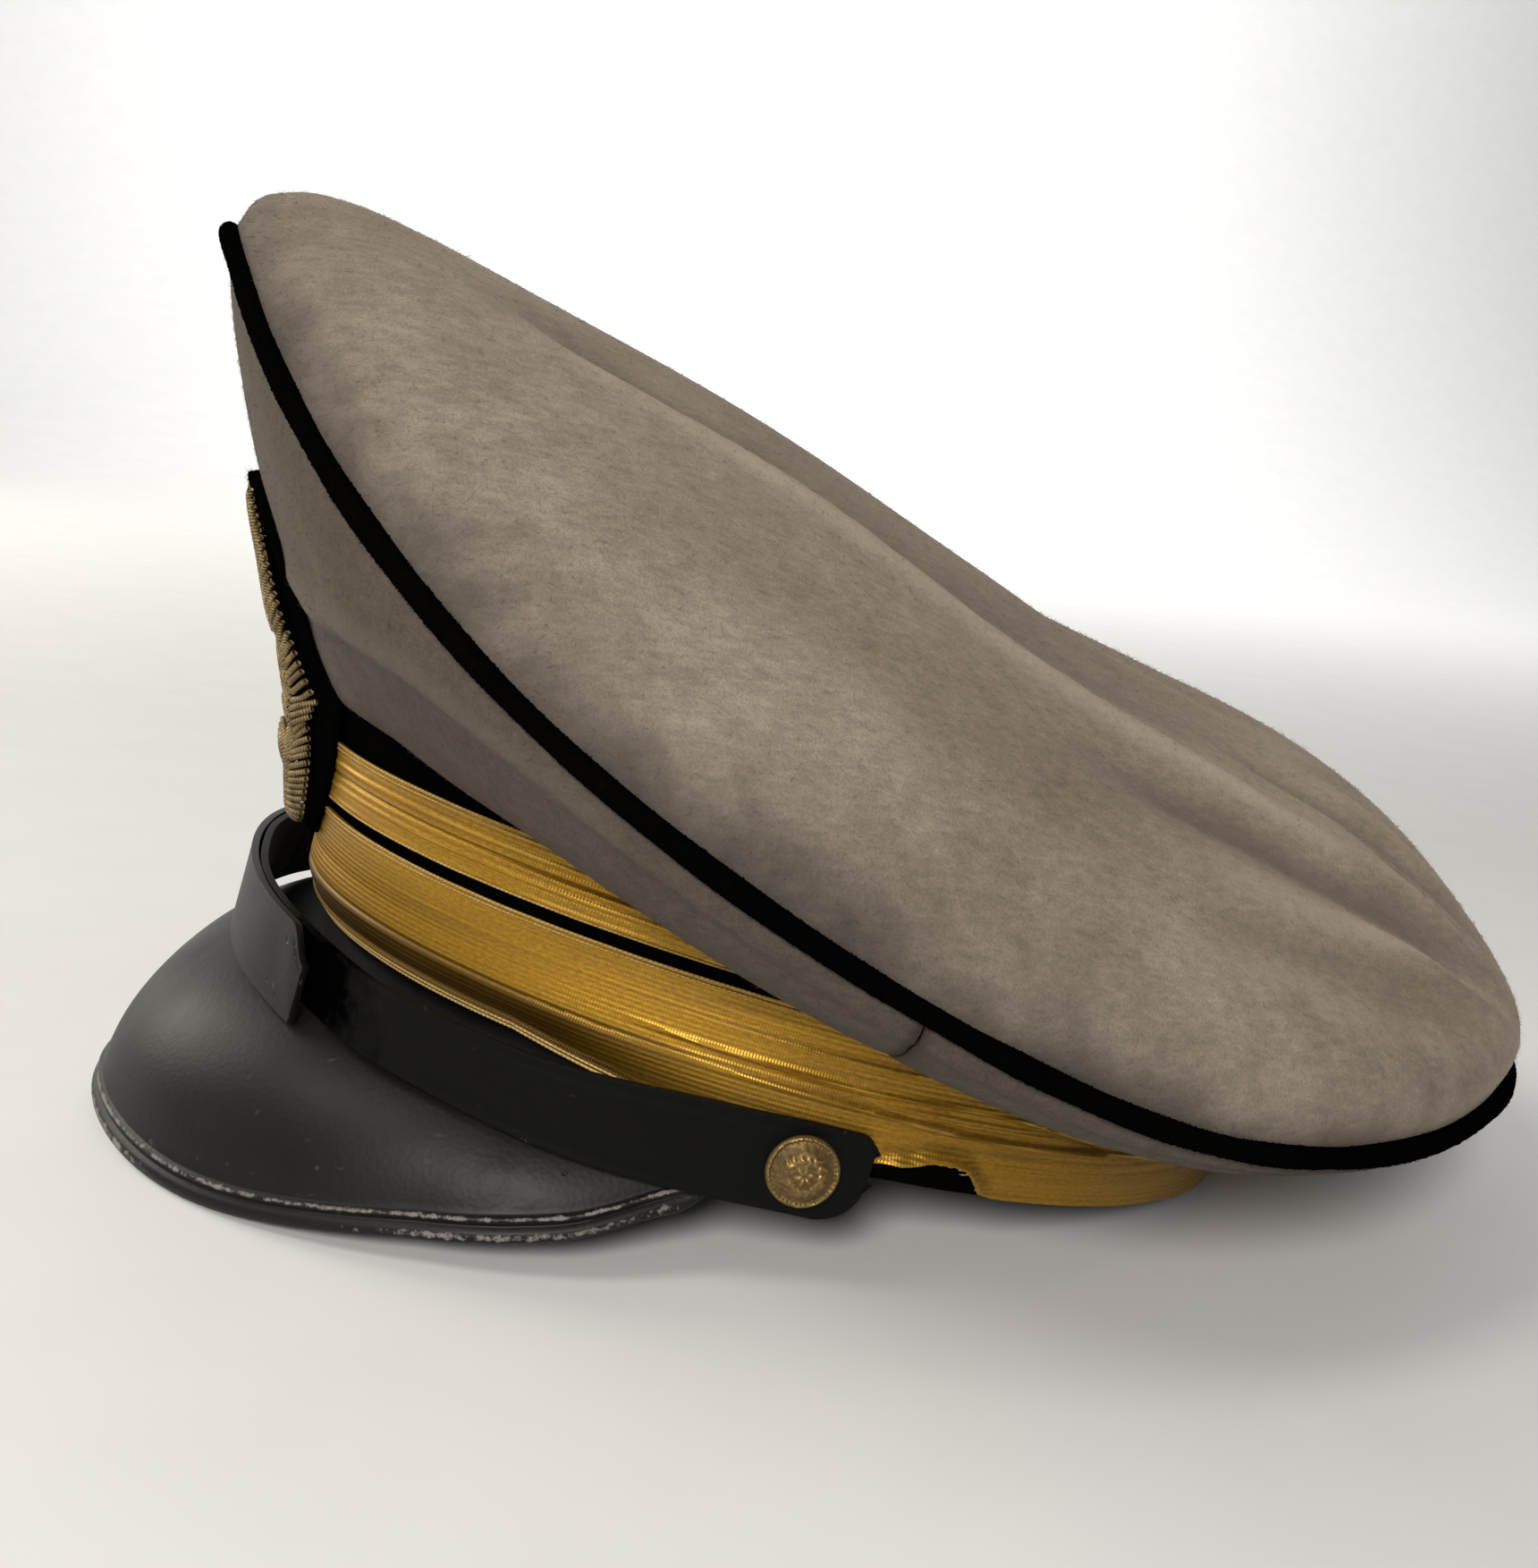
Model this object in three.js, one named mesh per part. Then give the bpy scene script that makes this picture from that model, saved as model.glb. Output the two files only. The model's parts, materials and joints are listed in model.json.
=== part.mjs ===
// Officer cap: soft wool crown, laced band, leather peak, chin strap, buttons and wreath badge.
// Millimetres. The band frame has x to the wearer's left, y to the back, z up from the lower lace.
// Angles go round the head from the front, towards the wearer's left.
import * as THREE from 'three';
import * as BufferGeometryUtils from 'three/addons/utils/BufferGeometryUtils.js';

// Driving dimensions
const BAND = { halfLength: 100, halfWidth: 85, egg: 0.03, top: 45, foot: -1.6, wall: 2 };
const LACE = { wall: 1, lowerTop: 25, upperFoot: 27.3, upperTop: 38.5, footAboveBand: 0.5 };
const SWEATBAND = { wall: 1.5, top: 36 };
const CROWN = { halfLength: 148.3, halfWidth: 127.5, backShift: 4.4, wall: 2, frontPower: 2.25, archPower: 0.8 };
const PIPING = { radius: 2.1 };
const PEAK = { halfAngle: 75, wall: 2.4, rootInset: 2.5, rimBand: 5.6, nearHandle: 0.45, farHandle: 0.98 };
const STRAP = { wall: 2.2, width: 16.4, endAngle: 87, endCut: 5, overlap: 2.6, tipNarrowing: 4 };
const BUTTON = { radius: 6.9, angle: 80.5, height: -1.3 };
const BADGE = { wall: 1.5, halfWidth: 26 };
const LEAF = { width: 6.6, relief: 2.1 };
const BOSS = { radius: 5.5, relief: 2.6, z: 32.5 };
const GAP = 0.3;
const LAYER_GAP = 0.5;

// Stations round the head in degrees. The torn lace behind the left button needs closer ones.
const STEP = 6;
const TEAR_STATIONS = [87, 89, 92, 94, 98, 100];

// Round the band: how far its foot turns in above the peak, and how far its top leans out in front
const BAND_FORM = [
  { angle: 0, turnIn: 5.5, foot: 3.2, flare: 6 },
  { angle: 24, turnIn: 5.5, foot: 3.2, flare: 5.6 },
  { angle: 48, turnIn: 5.5, foot: 3.2, flare: 2.6 },
  { angle: 60, turnIn: 3.4, foot: 1.6, flare: 1 },
  { angle: 72, turnIn: 0.8, foot: -1.2, flare: 0.2 },
  { angle: 78, turnIn: 0, foot: BAND.foot, flare: 0 },
  { angle: 180, turnIn: 0, foot: BAND.foot, flare: 0 },
];
const TURN_HEIGHT = 11;
const FLARE_START = 16;
const FLARE_END = 45;

// Height of the lower lace's torn edge above its hem
const TEAR = [
  { angle: 87, rise: 0 },
  { angle: 89, rise: 3.6 },
  { angle: 92, rise: 5.2 },
  { angle: 96, rise: 4.8 },
  { angle: 98, rise: 2 },
  { angle: 100, rise: 0 },
];

// Height of the crown's rim, and the Bezier handles of the side cloth between rim and band
const RIM = [
  { angle: 0, height: 121.6, puff: 0, rimOut: -1, rimDown: 16, seamOut: 6, seamUp: 3 },
  { angle: 8, height: 120.2, puff: 0, rimOut: -1, rimDown: 16, seamOut: 6, seamUp: 2 },
  { angle: 17, height: 114, puff: 0, rimOut: -1, rimDown: 17, seamOut: 7, seamUp: 0 },
  { angle: 26, height: 103, puff: 0.5, rimOut: -1, rimDown: 17, seamOut: 9, seamUp: -4 },
  { angle: 40, height: 83, puff: 1, rimOut: 0, rimDown: 17, seamOut: 12, seamUp: -10 },
  { angle: 52, height: 66.5, puff: 1, rimOut: 0, rimDown: 15, seamOut: 12, seamUp: -14 },
  { angle: 62, height: 55, puff: 1.5, rimOut: 0, rimDown: 14, seamOut: 12, seamUp: -17 },
  { angle: 75, height: 43, puff: 2, rimOut: 0, rimDown: 12, seamOut: 14, seamUp: -22 },
  { angle: 90, height: 32.8, puff: 3, rimOut: 0, rimDown: 10, seamOut: 16, seamUp: -27 },
  { angle: 101, height: 28.7, puff: 4.5, rimOut: 0, rimDown: 8, seamOut: 18, seamUp: -27 },
  { angle: 111, height: 28.6, puff: 5.5, rimOut: 0, rimDown: 7, seamOut: 19, seamUp: -27 },
  { angle: 123, height: 31.2, puff: 6, rimOut: -1, rimDown: 6, seamOut: 19, seamUp: -27 },
  { angle: 135, height: 35.5, puff: 6, rimOut: -3, rimDown: 6, seamOut: 19, seamUp: -27 },
  { angle: 150, height: 39, puff: 5, rimOut: -5, rimDown: 6, seamOut: 19, seamUp: -27 },
  { angle: 180, height: 42, puff: 5, rimOut: -6, rimDown: 8, seamOut: 20, seamUp: -27 },
];

// Ridge of the crown from front to back
const RIDGE = [
  { y: -143.1, height: RIM[0].height },
  { y: -141.5, height: 126 },
  { y: -136, height: 129.8 },
  { y: -126, height: 131.3 },
  { y: -113, height: 130.3 },
  { y: -88, height: 126 },
  { y: -59, height: 119.7 },
  { y: -27, height: 112 },
  { y: 6, height: 102.5 },
  { y: 22, height: 98 },
  { y: 54, height: 93 },
  { y: 99, height: 85 },
  { y: 124, height: 73 },
  { y: 140, height: 56 },
  { y: 148, height: 48 },
  { y: 151.9, height: RIM[RIM.length - 1].height },
];

// Long soft folds of the crown top: each line's ends seen from above, its width and its height
const FOLDS = [
  { fromX: 50, fromY: -110, toX: 66, toY: 122, width: 9, rise: 1.8 },
  { fromX: 82, fromY: 5, toX: 80, toY: 112, width: 7, rise: -2.4 },
  { fromX: 90, fromY: 30, toX: 73, toY: 124, width: 7, rise: 1.8 },
  { fromX: 104, fromY: 30, toX: 84, toY: 118, width: 7, rise: 1.4 },
  { fromX: 48, fromY: 45, toX: 62, toY: 118, width: 7, rise: -1.6 },
  { fromX: -46, fromY: -100, toX: -70, toY: 115, width: 10, rise: 1.6 },
];

// Peak: how far its rim stands out from its root and drops below it, and how low its two Bezier handles lie
const PEAK_SHAPE = [
  { angle: -75, out: 4.4, drop: 12, nearDip: 2.5, farDip: 5 },
  { angle: -60, out: 16, drop: 26, nearDip: 5.5, farDip: 9.2 },
  { angle: -45, out: 25, drop: 35.7, nearDip: 4, farDip: 6.5 },
  { angle: -25, out: 33, drop: 45.2, nearDip: 5, farDip: 9 },
  { angle: 0, out: 38, drop: 46.1, nearDip: 11, farDip: 15.6 },
  { angle: 25, out: 33, drop: 45.2, nearDip: 11, farDip: 13.6 },
  { angle: 45, out: 25, drop: 35.7, nearDip: 10.5, farDip: 13.8 },
  { angle: 60, out: 16, drop: 26, nearDip: 9.5, farDip: 15 },
  { angle: 75, out: 4.4, drop: 12, nearDip: 3, farDip: 7 },
];

// Pressed double bead along the peak's rim: distance from the edge, and how far it stands up
const PEAK_BEAD = [
  { inFromRim: 5.6, raise: 0 },
  { inFromRim: 4.6, raise: 0.7 },
  { inFromRim: 3.4, raise: 0.15 },
  { inFromRim: 2.2, raise: 0.8 },
  { inFromRim: 0.8, raise: 0.7 },
  { inFromRim: 0, raise: -0.3 },
];

// Chin strap: how far its outer face stands off the band, and how far it is pushed up
const STRAP_ROUTE = [
  { angle: -90, standOff: 4.1, lift: 0 },
  { angle: -78, standOff: 4.1, lift: 0.5 },
  { angle: -60, standOff: 8, lift: 3 },
  { angle: -40, standOff: 11, lift: 6 },
  { angle: -20, standOff: 11.5, lift: 5.5 },
  { angle: 0, standOff: 11, lift: 3.3 },
  { angle: 20, standOff: 12.5, lift: 1.4 },
  { angle: 30, standOff: 13, lift: 0.4 },
  { angle: 45, standOff: 10.5, lift: -0.3 },
  { angle: 60, standOff: 7.5, lift: -0.8 },
  { angle: 72, standOff: 4.9, lift: -0.5 },
  { angle: 80, standOff: 4.1, lift: 0 },
  { angle: 90, standOff: 4.1, lift: 0 },
];
const STRAP_FOOT = -9.7;
const OUTER_STRAP_END = 26;
const INNER_STRAP_END = -24;

// Badge patch from the crown down to the band: its face on the centre line, its outline and its bend
const BADGE_LINE = [
  { z: 81, y: -130.5, spread: 0.35, roundness: 350 },
  { z: 76, y: -127.9, spread: 0.72, roundness: 320 },
  { z: 68, y: -123.8, spread: 0.93, roundness: 220 },
  { z: 59, y: -119.8, spread: 1, roundness: 160 },
  { z: 50, y: -116.2, spread: 1, roundness: 115 },
  { z: 41, y: -112.8, spread: 0.96, roundness: 90 },
  { z: 32, y: -109.6, spread: 0.85, roundness: 78 },
  { z: 24, y: -106.2, spread: 0.66, roundness: 72 },
  { z: 18, y: -104.1, spread: 0.4, roundness: 70 },
];

// Leaves of each branch from the tie at the foot upwards: place across and up the patch, and lean
const LEAVES = [
  { across: 6.8, z: 23.2, lean: 60, length: 8.4 },
  { across: 13, z: 29.2, lean: 40, length: 9 },
  { across: 17.8, z: 37.2, lean: 24, length: 9.4 },
  { across: 20, z: 46.8, lean: 6, length: 9.6 },
  { across: 19, z: 56.6, lean: -14, length: 9.6 },
  { across: 15.2, z: 65.6, lean: -30, length: 9.2 },
  { across: 9, z: 72.8, lean: -50, length: 8.6 },
];

function smooth(rows, key, column) {
  const places = rows.map((row) => row[key]);
  const values = rows.map((row) => row[column]);
  const line = new THREE.CubicInterpolant(places, values, 1);
  line.settings = { endingStart: THREE.ZeroSlopeEnding, endingEnd: THREE.ZeroSlopeEnding };
  return (place) => line.evaluate(place)[0];
}

function straight(rows, key, column) {
  const places = rows.map((row) => row[key]);
  const values = rows.map((row) => row[column]);
  const line = new THREE.LinearInterpolant(places, values, 1);
  return (place) => line.evaluate(place)[0];
}

// Folds any angle to the half from the front to the back, for shapes alike on both sides
function foldAngle(angle) {
  const turn = THREE.MathUtils.euclideanModulo(angle, 360);
  return turn > 180 ? 360 - turn : turn;
}

function mix(from, to, share) {
  return from + (to - from) * share;
}

// Builds a mesh from closed faces, turned so that they all point out
function closedGeometry(points, faces) {
  const geometry = new THREE.BufferGeometry();
  const flat = points.flatMap((point) => [point.x, point.y, point.z]);
  geometry.setAttribute('position', new THREE.Float32BufferAttribute(flat, 3));
  let volume = 0;
  for (const [a, b, c] of faces) {
    volume += points[a].dot(new THREE.Vector3().crossVectors(points[b], points[c])) / 6;
  }
  const order = volume > 0 ? faces : faces.map(([a, b, c]) => [a, c, b]);
  geometry.setIndex(order.flat());
  geometry.computeVertexNormals();
  return geometry;
}

// A sheet with a wall: outer and inner points at each station, closed into a ring or with ends
function sheet(sections, closed) {
  const rows = sections[0].outer.length;
  const loop = 2 * rows;
  const points = sections.flatMap(({ outer, inner }) => [...outer, ...[...inner].reverse()]);
  const faces = [];
  const spans = closed ? sections.length : sections.length - 1;
  for (let i = 0; i < spans; i++) {
    const here = i * loop;
    const next = ((i + 1) % sections.length) * loop;
    for (let j = 0; j < loop; j++) {
      const up = (j + 1) % loop;
      faces.push([here + j, next + j, next + up], [here + j, next + up, here + up]);
    }
  }
  if (!closed) {
    const last = (sections.length - 1) * loop;
    for (let j = 0; j < rows - 1; j++) {
      const back = loop - 1 - j;
      faces.push([j, j + 1, back - 1], [j, back - 1, back]);
      faces.push([last + j, last + back - 1, last + j + 1], [last + j, last + back, last + back - 1]);
    }
  }
  return closedGeometry(points, faces);
}

// A domed shell whose sections run from the middle of its outer face, round its edge, to the middle inside
function dome(top, sections, underside) {
  const rows = sections[0].length;
  const points = [top, ...sections.flat(), underside];
  const last = points.length - 1;
  const faces = [];
  sections.forEach((section, i) => {
    const here = 1 + i * rows;
    const next = 1 + ((i + 1) % sections.length) * rows;
    faces.push([0, here, next]);
    for (let j = 0; j < rows - 1; j++) {
      faces.push([here + j, here + j + 1, next + j + 1], [here + j, next + j + 1, next + j]);
    }
    faces.push([last, next + rows - 1, here + rows - 1]);
  });
  return closedGeometry(points, faces);
}

function mesh(name, geometry, finish) {
  const part = new THREE.Mesh(geometry, new THREE.MeshStandardMaterial(finish));
  part.name = name;
  return part;
}

const FINISH = {
  crownCloth: { color: 0x968a7a, roughness: 0.95, metalness: 0 },
  sideCloth: { color: 0x7d766c, roughness: 0.95, metalness: 0 },
  blackCloth: { color: 0x0b0a09, roughness: 0.95, metalness: 0 },
  goldLace: { color: 0xb4872d, roughness: 0.5, metalness: 0.6 },
  peakLeather: { color: 0x1c1b1a, roughness: 0.45, metalness: 0 },
  strapLeather: { color: 0x1e1d1d, roughness: 0.6, metalness: 0 },
  liningLeather: { color: 0x141210, roughness: 0.7, metalness: 0 },
  brass: { color: 0x8a6f3c, roughness: 0.5, metalness: 0.9 },
  bullion: { color: 0x80693a, roughness: 0.55, metalness: 0.7 },
};

// The head oval, a little wider at the back
function ovalPoint(halfLength, halfWidth, angle, z) {
  const a = THREE.MathUtils.degToRad(angle);
  const egg = 1 - BAND.egg * Math.cos(a);
  return new THREE.Vector3(halfWidth * Math.sin(a) * egg, -halfLength * Math.cos(a), z);
}

function ovalNormal(halfLength, halfWidth, angle) {
  const before = ovalPoint(halfLength, halfWidth, angle - 0.5, 0);
  const after = ovalPoint(halfLength, halfWidth, angle + 0.5, 0);
  const along = after.sub(before).normalize();
  return new THREE.Vector3(along.y, -along.x, 0);
}

const turnIn = straight(BAND_FORM, 'angle', 'turnIn');
const footHeight = straight(BAND_FORM, 'angle', 'foot');
const flareOut = smooth(BAND_FORM, 'angle', 'flare');
const tearRise = straight(TEAR, 'angle', 'rise');

// A point on the band's outer face, moved out by stand
function bandPoint(angle, z, stand) {
  const side = foldAngle(angle);
  const foot = footHeight(side);
  const below = THREE.MathUtils.clamp((TURN_HEIGHT - z) / (TURN_HEIGHT - foot), 0, 1.2);
  const inward = turnIn(side) * below ** 1.6;
  const above = Math.max((z - FLARE_START) / (FLARE_END - FLARE_START), 0);
  const outward = flareOut(side) * above;
  const point = ovalPoint(BAND.halfLength, BAND.halfWidth, angle, z);
  return point.addScaledVector(ovalNormal(BAND.halfLength, BAND.halfWidth, angle), stand - inward + outward);
}

const wholeTurn = [];
for (let angle = -180; angle < 180; angle += STEP) {
  wholeTurn.push(angle);
}
const ringStations = [...new Set([...wholeTurn, ...TEAR_STATIONS])].sort((a, b) => a - b);

// Heights of a layer's rows, closer together where the band turns in
function bandRows(foot, top) {
  if (foot > TURN_HEIGHT) {
    return [foot, top];
  }
  return [foot, mix(foot, TURN_HEIGHT, 0.3), mix(foot, TURN_HEIGHT, 0.65), FLARE_START, top];
}

function bandLayer(footAt, top, standOut, wall) {
  const sections = ringStations.map((angle) => {
    const rows = bandRows(footAt(angle), top);
    return {
      outer: rows.map((z) => bandPoint(angle, z, standOut)),
      inner: rows.map((z) => bandPoint(angle, z, standOut - wall)),
    };
  });
  return sheet(sections, true);
}

function makeBand() {
  const foot = (angle) => footHeight(foldAngle(angle));
  const torn = (angle) => {
    const inTear = angle > TEAR[0].angle && angle < TEAR[TEAR.length - 1].angle;
    return foot(angle) + LACE.footAboveBand + (inTear ? tearRise(angle) : 0);
  };
  const laceStand = LAYER_GAP + LACE.wall;
  const sweatStand = -BAND.wall - LAYER_GAP;
  return [
    mesh('cloth_band', bandLayer(foot, BAND.top, 0, BAND.wall), FINISH.blackCloth),
    mesh('sweatband', bandLayer(foot, SWEATBAND.top, sweatStand, SWEATBAND.wall), FINISH.liningLeather),
    mesh('lace_lower', bandLayer(torn, LACE.lowerTop, laceStand, LACE.wall), FINISH.goldLace),
    mesh('lace_upper', bandLayer(() => LACE.upperFoot, LACE.upperTop, laceStand, LACE.wall), FINISH.goldLace),
  ];
}

const rimHeight = smooth(RIM, 'angle', 'height');
const rimPuff = smooth(RIM, 'angle', 'puff');
const ridgeHeight = smooth(RIDGE, 'y', 'height');

// The crown's outline from above, at unit size: an oval, blunter in front
function crownOutline(angle) {
  const a = THREE.MathUtils.degToRad(angle);
  const power = Math.cos(a) > 0 ? CROWN.frontPower : 2;
  const reach = (Math.abs(Math.sin(a)) ** power + Math.abs(Math.cos(a)) ** power) ** (-1 / power);
  return { across: reach * Math.sin(a), forward: reach * Math.cos(a) };
}

// Centre line of the piping round the crown's rim
function rimPoint(angle) {
  const { across, forward } = crownOutline(angle);
  const y = CROWN.backShift - CROWN.halfLength * forward;
  return new THREE.Vector3(CROWN.halfWidth * across, y, rimHeight(foldAngle(angle)));
}

function rimNormal(angle) {
  const along = rimPoint(angle + 0.5).sub(rimPoint(angle - 0.5));
  return new THREE.Vector3(along.y, -along.x, 0).normalize();
}

// How far the folds lift a place on the crown top
function foldRise(x, y) {
  let rise = 0;
  for (const fold of FOLDS) {
    const line = new THREE.Vector2(fold.toX - fold.fromX, fold.toY - fold.fromY);
    const place = new THREE.Vector2(x - fold.fromX, y - fold.fromY);
    const along = place.dot(line) / line.lengthSq();
    const aside = place.cross(line) / line.length();
    const fade = THREE.MathUtils.smoothstep(along, 0, 0.4) * (1 - THREE.MathUtils.smoothstep(along, 0.85, 1.05));
    rise += fold.rise * fade * Math.exp(-((aside / fold.width) ** 2));
  }
  return rise;
}

// Crown top: a share of 0 is the middle and 1 the rim. Each crosswise section is an arch from rim to rim.
function topPoint(angle, share) {
  const { across, forward } = crownOutline(angle);
  const edge = PIPING.radius * 0.4;
  const ahead = share * forward;
  const power = ahead > 0 ? CROWN.frontPower : 2;
  const halfSpan = Math.max(1 - Math.abs(ahead) ** power, 1e-6) ** (1 / power);
  const x = (CROWN.halfWidth - edge) * share * across;
  const y = CROWN.backShift - (CROWN.halfLength - edge) * ahead;
  const aside = Math.min(share * Math.abs(across) / halfSpan, 1);
  const sideHeight = rimHeight(THREE.MathUtils.radToDeg(Math.atan2(halfSpan, ahead)));
  const arch = (1 - aside * aside) ** CROWN.archPower;
  const seat = PIPING.radius + GAP;
  const height = mix(sideHeight, ridgeHeight(y), arch) + seat + foldRise(x, y) * Math.sqrt(arch);
  const swell = Math.sin(Math.PI * share ** 14) * rimPuff(foldAngle(angle));
  return new THREE.Vector3(x, y, height).addScaledVector(rimNormal(angle), swell);
}

function topNormal(angle, share) {
  const step = 0.01;
  const inner = Math.max(share - step, step);
  const along = topPoint(angle + 1, share).sub(topPoint(angle - 1, share));
  const out = topPoint(angle, share).sub(topPoint(angle, inner));
  return new THREE.Vector3().crossVectors(out, along).normalize();
}

function makeCrownTop() {
  const rings = 10;
  const shares = Array.from({ length: rings }, (_, i) => Math.sin(((i + 1) / rings) * (Math.PI / 2)));
  const sections = wholeTurn.map((angle) => {
    const outer = shares.map((share) => topPoint(angle, share));
    const inner = shares.map((share) => {
      const through = share < 1 ? topNormal(angle, share) : rimNormal(angle);
      return topPoint(angle, share).addScaledVector(through, -CROWN.wall);
    });
    return [...outer, ...inner.reverse()];
  });
  const middle = topPoint(0, 0);
  const under = middle.clone().add(new THREE.Vector3(0, 0, -CROWN.wall));
  return mesh('crown_top', dome(middle, sections, under), FINISH.crownCloth);
}

// Side cloth: from under the piping, out over the band and back to its top edge
const handle = Object.fromEntries(
  ['rimOut', 'rimDown', 'seamOut', 'seamUp'].map((column) => [column, smooth(RIM, 'angle', column)]),
);

function sideCurve(angle) {
  const side = foldAngle(angle);
  const out = rimNormal(angle);
  const bandOut = ovalNormal(BAND.halfLength, BAND.halfWidth, angle);
  const start = rimPoint(angle).addScaledVector(out, -0.4 * PIPING.radius);
  start.z -= PIPING.radius + GAP;
  const end = bandPoint(angle, BAND.top + GAP, 0);
  const nearRim = start.clone().addScaledVector(out, handle.rimOut(side));
  nearRim.z -= handle.rimDown(side);
  const nearSeam = end.clone().addScaledVector(bandOut, handle.seamOut(side));
  nearSeam.z += handle.seamUp(side);
  return new THREE.CubicBezierCurve3(start, nearRim, nearSeam, end);
}

function sideSection(angle) {
  const steps = 6;
  const curve = sideCurve(angle);
  const ahead = sideCurve(angle + 1);
  const outer = [];
  const inner = [];
  for (let i = 0; i <= steps; i++) {
    const share = i / steps;
    const point = curve.getPoint(share);
    const along = ahead.getPoint(share).sub(point);
    const down = curve.getTangent(share);
    const normal = new THREE.Vector3().crossVectors(down, along).normalize();
    outer.push(point);
    inner.push(point.clone().addScaledVector(normal, -CROWN.wall));
  }
  return { outer, inner };
}

function makeSides() {
  const seam = 80;
  const slit = 0.1;
  const span = (from, to) => {
    const between = [];
    for (let angle = STEP * Math.ceil((from + 1) / STEP); angle < to - 1; angle += STEP) {
      between.push(angle);
    }
    return [from + slit, ...between, to - slit].map(sideSection);
  };
  return [
    mesh('side_cloth_front', sheet(span(-seam, seam), false), FINISH.sideCloth),
    mesh('side_cloth_back', sheet(span(seam, 360 - seam), false), FINISH.sideCloth),
  ];
}

function makePiping() {
  const sides = 6;
  const sections = wholeTurn.map((angle) => {
    const centre = rimPoint(angle);
    const out = rimNormal(angle);
    const ring = Array.from({ length: sides }, (_, i) => {
      const a = (i / sides) * 2 * Math.PI;
      const point = centre.clone().addScaledVector(out, PIPING.radius * Math.cos(a));
      point.z += PIPING.radius * Math.sin(a);
      return point;
    });
    return { outer: ring.slice(0, sides / 2), inner: ring.slice(sides / 2).reverse() };
  });
  return mesh('crown_piping', sheet(sections, true), FINISH.blackCloth);
}

// Peak: each section runs from under the band, out and down to the rim
const peakOut = smooth(PEAK_SHAPE, 'angle', 'out');
const peakDrop = smooth(PEAK_SHAPE, 'angle', 'drop');
const peakNearDip = smooth(PEAK_SHAPE, 'angle', 'nearDip');
const peakFarDip = smooth(PEAK_SHAPE, 'angle', 'farDip');

function peakCurve(angle) {
  const outward = ovalNormal(BAND.halfLength, BAND.halfWidth, angle);
  const foot = footHeight(Math.abs(angle));
  const root = bandPoint(angle, foot, -PEAK.rootInset);
  root.z = foot - GAP;
  const along = (share, drop) => {
    const point = root.clone().addScaledVector(outward, share * peakOut(angle));
    point.z -= drop;
    return point;
  };
  const near = along(PEAK.nearHandle, peakNearDip(angle));
  const far = along(PEAK.farHandle, peakFarDip(angle));
  return new THREE.CubicBezierCurve3(root, near, far, along(1, peakDrop(angle)));
}

function peakSection(angle) {
  const curve = peakCurve(angle);
  const reach = curve.getLength();
  const plainRows = 5;
  const beadStart = reach - Math.min(PEAK.rimBand, 0.5 * reach);
  const places = Array.from({ length: plainRows }, (_, i) => ({ at: (beadStart * i) / plainRows, raise: 0 }));
  const squeeze = (reach - beadStart) / PEAK.rimBand;
  PEAK_BEAD.forEach(({ inFromRim, raise }) => places.push({ at: reach - inFromRim * squeeze, raise }));
  const ahead = peakCurve(angle + 1);
  const outer = [];
  const inner = [];
  for (const { at, raise } of places) {
    const share = at / reach;
    const point = curve.getPointAt(share);
    const along = ahead.getPointAt(share).sub(point);
    const normal = new THREE.Vector3().crossVectors(curve.getTangentAt(share), along).normalize();
    outer.push(point.clone().addScaledVector(normal, raise));
    inner.push(point.clone().addScaledVector(normal, -PEAK.wall));
  }
  return { outer, inner };
}

function makePeak() {
  const stations = [];
  for (let angle = -PEAK.halfAngle; angle <= PEAK.halfAngle; angle += STEP) {
    stations.push(peakSection(angle));
  }
  return mesh('peak', sheet(stations, false), FINISH.peakLeather);
}

const strapStand = smooth(STRAP_ROUTE, 'angle', 'standOff');
const strapLift = smooth(STRAP_ROUTE, 'angle', 'lift');

// A strap half from its rounded end at the button. Its tip may dip under the other half and narrow.
function strapHalf(from, to, dipAt) {
  const stations = [];
  const count = Math.round(Math.abs(to - from) / (STEP / 2));
  for (let i = 0; i <= count; i++) {
    const angle = mix(from, to, i / count);
    const endGap = THREE.MathUtils.degToRad(Math.abs(from - angle)) * BAND.halfLength;
    const cut = Math.max(STRAP.endCut - endGap, 0);
    const dip = dipAt(angle);
    const foot = STRAP_FOOT + strapLift(angle) + cut + STRAP.tipNarrowing * dip;
    const top = STRAP_FOOT + strapLift(angle) + STRAP.width - cut;
    const stand = strapStand(angle) - STRAP.overlap * dip;
    const point = (share, out) => {
      const place = ovalPoint(BAND.halfLength, BAND.halfWidth, angle, mix(foot, top, share));
      return place.addScaledVector(ovalNormal(BAND.halfLength, BAND.halfWidth, angle), out);
    };
    stations.push({
      outer: [point(0, stand), point(1, stand)],
      inner: [point(0, stand - STRAP.wall), point(1, stand - STRAP.wall)],
    });
  }
  return sheet(stations, false);
}

function makeStrap() {
  const dip = (angle) => 1 - THREE.MathUtils.smoothstep(angle, OUTER_STRAP_END + 1, 38);
  const left = strapHalf(STRAP.endAngle, INNER_STRAP_END, dip);
  const right = strapHalf(-STRAP.endAngle, OUTER_STRAP_END, () => 0);
  return [
    mesh('chin_strap_left', left, FINISH.strapLeather),
    mesh('chin_strap_right', right, FINISH.strapLeather),
  ];
}

// A turned solid whose profile starts and ends on the axis, with its shared points merged
function lathe(profile, sides) {
  const turned = new THREE.LatheGeometry(profile.map(([x, y]) => new THREE.Vector2(x, y)), sides);
  turned.deleteAttribute('normal');
  turned.deleteAttribute('uv');
  return BufferGeometryUtils.mergeVertices(turned);
}

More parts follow.
